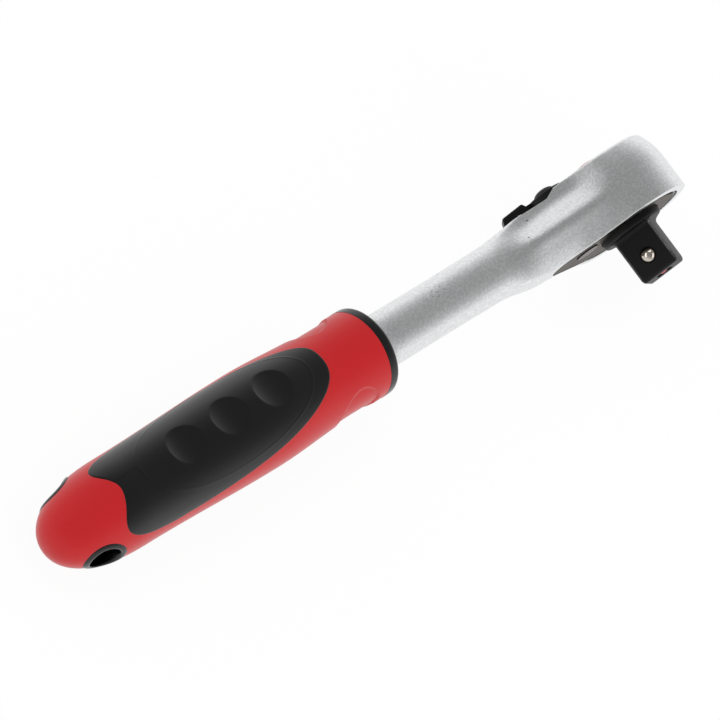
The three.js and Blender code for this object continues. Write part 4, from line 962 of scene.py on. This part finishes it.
def makeLever():
    # hub disc with a dome, a stem through the head, and a thumb tab lofted outwards from the hub
    low = lever["seat"] + lever["lift"]
    top = low + lever["hubThickness"]
    dome = np.radians(np.linspace(0, 90, 14))
    domeCurve = np.stack([lever["domeRadius"] * np.cos(dome), top + lever["domeHeight"] * np.sin(dome)], -1)
    foot = roundedProfile(
        [(lever["hubRadius"], low), (lever["hubRadius"], top), (lever["domeRadius"] + tiny, top), domeCurve[1]],
        [lever["hubRound"], lever["domeFoot"]])
    stemY, chamfer = -head["below"] - lever["stemProud"], lever["stemChamfer"]
    stem = [[0, stemY], [lever["stemRadius"] - chamfer, stemY], [lever["stemRadius"], stemY + chamfer],
            [lever["stemRadius"], low]]
    hub = revolve("reversingLever", np.concatenate([stem, foot, domeCurve[2:]]), 96)
    made = joinMeshes(hub, leverTab(low, top))
    turn = Matrix.Rotation(math.radians(-lever["swing"] / 2), 4, "Y")
    transformShape(made, Matrix.Translation((lever["x"] / 1000, 0, 0)) @ turn)
    return made


def leverTab(low, top):
    # superellipse rings, boxes with round corners, along the tab's ridge line
    reach, n = lever["tabReach"], lever["around"]
    ridge = roundedProfile(
        [(0, top), (lever["tabStart"] - lever["tabStep"], top), (lever["tabStart"], top + lever["tabRise"]),
         (reach - lever["tipLean"], top + lever["tabRise"] - lever["tabFall"]), (reach, low + lever["tipFoot"]),
         (reach + 2 * tiny, low + lever["tipEnd"])], lever["tabRounds"])
    run = np.concatenate([[0], np.cumsum(np.linalg.norm(np.diff(ridge, axis=0), axis=1))])
    step = np.linspace(0, run[-1], lever["along"])
    along, high = np.interp(step, run, ridge[:, 0]), np.interp(step, run, ridge[:, 1])
    ring = ringPoints(n)
    bulge = np.sign(ring) * np.abs(ring) ** lever["boxiness"]
    wide = np.interp(along, [0, lever["tabStart"], reach],
                     [lever["tabHidden"], lever["tabRoot"] / 2, lever["tabWidth"] / 2])
    corner = np.clip((along - reach + lever["tipRun"]) / lever["tipRun"], 0, 1)
    wide = wide - lever["tipRound"] * (1 - np.sqrt(1 - corner ** 2))
    middle, half = (high + low) / 2, (high - low) / 2
    py = middle[:, None] + half[:, None] * bulge[None, :, 1]
    pz = wide[:, None] * (bulge[:, 0] * (1 - lever["tabDraft"] * (1 - bulge[:, 1])))[None, :]
    points = np.stack([-np.broadcast_to(along[:, None], py.shape), py, pz], -1)
    faces = [gridFaces(len(along), n, closeCols=True), *endCaps(len(along), n)]
    return buildMesh("tab", points.reshape(-1, 3), faces, 50)


def makeButton():
    # low crowned cap over a flange that stays under the head's wall
    side = head["above"] + button["proud"]
    crown = np.linspace(1, 0, 12)
    cap = np.stack([button["radius"] * crown, side + button["crown"] * (1 - crown ** 2)], -1)
    radius, lowY = button["radius"], button["lowY"]
    edge = roundedProfile([(radius, lowY), (radius, side), cap[2]], [button["edgeRound"]])
    return revolve("releaseButton", np.concatenate([[[0, lowY]], edge[:-1], cap[2:]]), 96)


pin = {"radius": 2.25, "waist": 0.85, "sink": 0.02, "domeRadius": 3.0, "ramp": 0.5, "ballGap": 0.2}


def makePin():
    # rod with a round end just inside the square's recess and a cone at the ball that lets it in
    endY, top = squareEndY + pin["sink"], nodeBox("release_pin")[1][1]
    away = np.linspace(0, pin["radius"], 10)
    dome = np.stack([away, endY + pin["domeRadius"] - np.sqrt(pin["domeRadius"] ** 2 - away ** 2)], -1)
    ballY, ballOut = squareEndY + ball["fromEnd"], drive["square"] / 2 + ball["proud"] - ball["radius"]
    touch = ballOut - (ball["radius"] + pin["ballGap"]) * math.hypot(1, pin["ramp"])
    coneLow, coneHigh = ((touch - radius) / pin["ramp"] for radius in (pin["radius"], pin["waist"]))
    shaft = [(pin["radius"], ballY + coneLow), (pin["waist"], ballY + coneHigh),
             (pin["radius"], ballY + coneHigh + pin["radius"] - pin["waist"]), (pin["radius"], top), (0, top)]
    return revolve("releasePin", np.concatenate([dome, shaft]), 64)


def makeSpring(name, node, joint):
    # the coil as long as it is when pressed: each point moves towards the fixed end by its share of the travel
    coil, low, high = frame["nodes"][node], *joints[joint]["range_m"]
    points = np.array([coil.matrix_world @ corner.co for corner in coil.data.vertices])
    push = np.array(joints[joint]["axis"], float) * (1 if high > 0 else -1)
    along = points @ push
    points = points + np.outer((along.max() - along) / np.ptp(along), push) * (high - low)
    faces = [list(face.vertices) for face in coil.data.polygons]
    return buildMesh(name, (points - toolOrigin) * 1000, [faces])


finish["lever"] = blackPhosphate("phosphated steel, ground stem end", stemEnd)
wear(makePin(), "release", "release_pin", finish["red"])
wear(makeLever(), "lever", "reversing_lever", finish["lever"])
wear(makeButton(), "release", "release_button", finish["red"])
for name, body, node, joint in (("releaseSpring", "drive", "release_spring", "release_press"),
                                ("pawlSpring", "lever", "pawl_spring", "plunger_slide")):
    wear(makeSpring(name, node, joint), body, node, finish["wire"])
for node, key in (("thrust_washer", "plate"), ("plate_snap_ring", "wire"), ("pawl", "plate"),
                  ("lever_o_ring", "rubber"), ("lever_clip", "wire"), ("pawl_plunger", "plate")):
    inner = frame["nodes"][node]
    inner.data.materials.clear()
    inner.data.materials.append(finish[key])
print("lever, button and inner pieces")

# Camera, floor and light

view = {
    "theta": 34.5, "tilt": 7.0, "roll": 53.63, "pixelsPerMm": 3.37, "distance": 1700.0,
    "anchor": (0.0, -10.4, 0.0), "anchorPixel": (631.5, 228.2), "image": 720.0, "sensor": 36.0, "clipEnd": 50.0,
}


def makeCamera():
    theta, tilt, roll = (math.radians(view[k]) for k in ("theta", "tilt", "roll"))
    back = Vector((-math.sin(theta) * math.cos(tilt), -math.sin(tilt), math.cos(theta) * math.cos(tilt)))
    up = Vector((0, 1, 0)) - back.y * back
    up.normalize()
    side = up.cross(back)
    right = side * math.sin(roll) - up * math.cos(roll)
    over = side * math.cos(roll) + up * math.sin(roll)
    acrossMm = (view["anchorPixel"][0] - view["image"] / 2) / view["pixelsPerMm"]
    upMm = (view["image"] / 2 - view["anchorPixel"][1]) / view["pixelsPerMm"]
    eye = Vector(view["anchor"]) - right * acrossMm - over * upMm + back * view["distance"]
    data = bpy.data.cameras.new("photograph")
    data.sensor_width = view["sensor"]
    data.lens = view["pixelsPerMm"] * view["distance"] * view["sensor"] / view["image"]
    data.clip_end = view["clipEnd"]
    made = addObject("photograph", data)
    turn = Matrix((right, over, back)).transposed().to_4x4()
    made.matrix_world = Matrix.Translation(Vector(toolOrigin) + eye / 1000) @ turn
    bpy.context.scene.camera = made
    return right, over, back


lights = {
    "key": {"from": (-0.35, 0.75, 0.75), "away": 1.3, "size": 1.0, "watts": 1.8},
    "low": {"from": (0.2, -0.9, 0.35), "away": 1.3, "size": 1.0, "watts": 3.4},
}
lampsAim = (-0.1, 0.0, 0.0)
# soft boxes that only the polished ball mirrors: place as (right, up, back) of the picture, width, height
softBoxes = {
    "overhead": (0.115, 0.852, 0.51, 0.7, 0.6),
    "left": (-0.646, 0.0, 0.763, 0.35, 1.0),
    "right": (0.882, -0.068, 0.462, 0.35, 1.0),
}
boxGlow = 1.6
# the ceiling gives brightness by height: a white horizon all round and grey overhead
studio = {
    "floor": "F7F7F7", "floorReach": 4.0, "floorGap": 0.1, "floorRoughness": 0.9, "fill": 0.95, "seen": 0.94,
    "clear": 0.4, "ceiling": ((0.0, 1.0), (0.2, 0.8), (0.4, 0.6), (0.6, 0.42), (0.8, 0.345), (1.0, 0.325)),
}
white = (1, 1, 1, 1)


def whiteWhenSeen(tree, strength):
    # a strength for rays from the camera, mirrors and glass, so that the floor reads white but doesn't glow
    path = addNode(tree, "ShaderNodeLightPath")
    larger = {"operation": "MAXIMUM"}
    glossy = addNode(tree, "ShaderNodeMath", larger,
                     links={0: (path, "Is Camera Ray"), 1: (path, "Is Glossy Ray")})
    seen = addNode(tree, "ShaderNodeMath", larger, links={0: (glossy, 0), 1: (path, "Is Transmission Ray")})
    return addNode(tree, "ShaderNodeMath", {"operation": "MULTIPLY"}, inputs={1: strength},
                   links={0: (seen, 0)})


def makeFloor():
    # plane through the head's side and the handle's belly, so that the tool rests on both
    bodyLow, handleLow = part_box("ratchet_body")[0].z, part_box("side_grip_lower")[0].z
    slope = math.atan2(handleLow - studio["clear"] / 1000 - bodyLow, -handleLook["bellyX"] / 1000)
    far = studio["floorReach"]
    mesh = bpy.data.meshes.new("floor")
    mesh.from_pydata([(-far, -far, 0), (far, -far, 0), (far, far, 0), (-far, far, 0)], [], [(0, 1, 2, 3)])
    floor = addObject("floor", mesh)
    under = Matrix.Translation((toolOrigin[0], 0, bodyLow - studio["floorGap"] / 1000))
    mesh.transform(under @ Matrix.Rotation(slope, 4, "Y"))
    material, tree, shader = startMaterial("white paper sweep", {
        "Base Color": hexColour(studio["floor"]), "Roughness": studio["floorRoughness"],
        "Specular IOR Level": 0.0})
    glow = addNode(tree, "ShaderNodeEmission", inputs={"Color": white, "Strength": 1.0})
    share = whiteWhenSeen(tree, studio["seen"])
    mix = addNode(tree, "ShaderNodeMixShader", links={"Fac": (share, 0), 1: (shader, 0), 2: (glow, 0)})
    tree.links.new(mix.outputs[0], tree.nodes["Material Output"].inputs["Surface"])
    mesh.materials.append(material)


def makeSurroundings():
    # mirrors see the ceiling's ramp, dull surfaces an even fill, and the camera plain white
    world = bpy.data.worlds.new("studio")
    bpy.context.scene.world = world
    world.use_nodes = True
    tree = world.node_tree
    place = addNode(tree, "ShaderNodeTexCoord")
    height = addNode(tree, "ShaderNodeSeparateXYZ", links={"Vector": (place, "Generated")})
    ramp = addNode(tree, "ShaderNodeValToRGB", links={"Fac": (height, "Z")})
    ramp.color_ramp.interpolation = "EASE"
    stops = ramp.color_ramp.elements
    while len(stops) < len(studio["ceiling"]):
        stops.new(0.5)
    for stop, (level, bright) in zip(stops, studio["ceiling"]):
        stop.position = level
        stop.color = (bright, bright, bright, 1)
    mirrored = tree.nodes["Background"]
    tree.links.new(ramp.outputs["Color"], mirrored.inputs["Color"])
    fill = addNode(tree, "ShaderNodeBackground", inputs={"Color": white, "Strength": studio["fill"]})
    plain = addNode(tree, "ShaderNodeBackground", inputs={"Color": white, "Strength": 1.0})
    path = addNode(tree, "ShaderNodeLightPath")
    lit = addNode(tree, "ShaderNodeMixShader",
                  links={"Fac": (path, "Is Diffuse Ray"), 1: (mirrored, 0), 2: (fill, 0)})
    mix = addNode(tree, "ShaderNodeMixShader",
                  links={"Fac": (path, "Is Camera Ray"), 1: (lit, 0), 2: (plain, 0)})
    tree.links.new(mix.outputs[0], tree.nodes["World Output"].inputs["Surface"])


def addLamp(name, watts):
    data = bpy.data.lights.new(name, "AREA")
    data.energy = watts
    return addObject(name, data)


def makeLamps():
    target = Vector(toolOrigin) + Vector(lampsAim)
    for name, lamp in lights.items():
        made = addLamp(name, lamp["watts"])
        made.data.size = lamp["size"]
        direction = Vector(lamp["from"]).normalized()
        made.location = target + direction * lamp["away"]
        made.rotation_euler = direction.to_track_quat("Z", "Y").to_euler()
        made.visible_glossy = False


def lightBall(axes):
    # each soft box faces the ball from a metre away and lights nothing else
    only = bpy.data.collections.new("ball alone")
    only.objects.link(steelBall)
    target = Vector(toolOrigin) + Vector((0, squareEndY / 1000, 0))
    for name, (right, up, back, width, height) in softBoxes.items():
        made = addLamp(name, boxGlow * math.pi * width * height)
        made.data.shape = "RECTANGLE"
        made.data.size, made.data.size_y = width, height
        direction = (axes[0] * right + axes[1] * up + axes[2] * back).normalized()
        side = axes[1].cross(direction).normalized()
        facing = Matrix((side, direction.cross(side), direction)).transposed().to_4x4()
        made.matrix_world = Matrix.Translation(target + direction) @ facing
        made.light_linking.receiver_collection = only


lightBall(makeCamera())
makeFloor()
makeSurroundings()
makeLamps()
bpy.context.scene.view_settings.view_transform = "Standard"
print("camera, floor and lights")
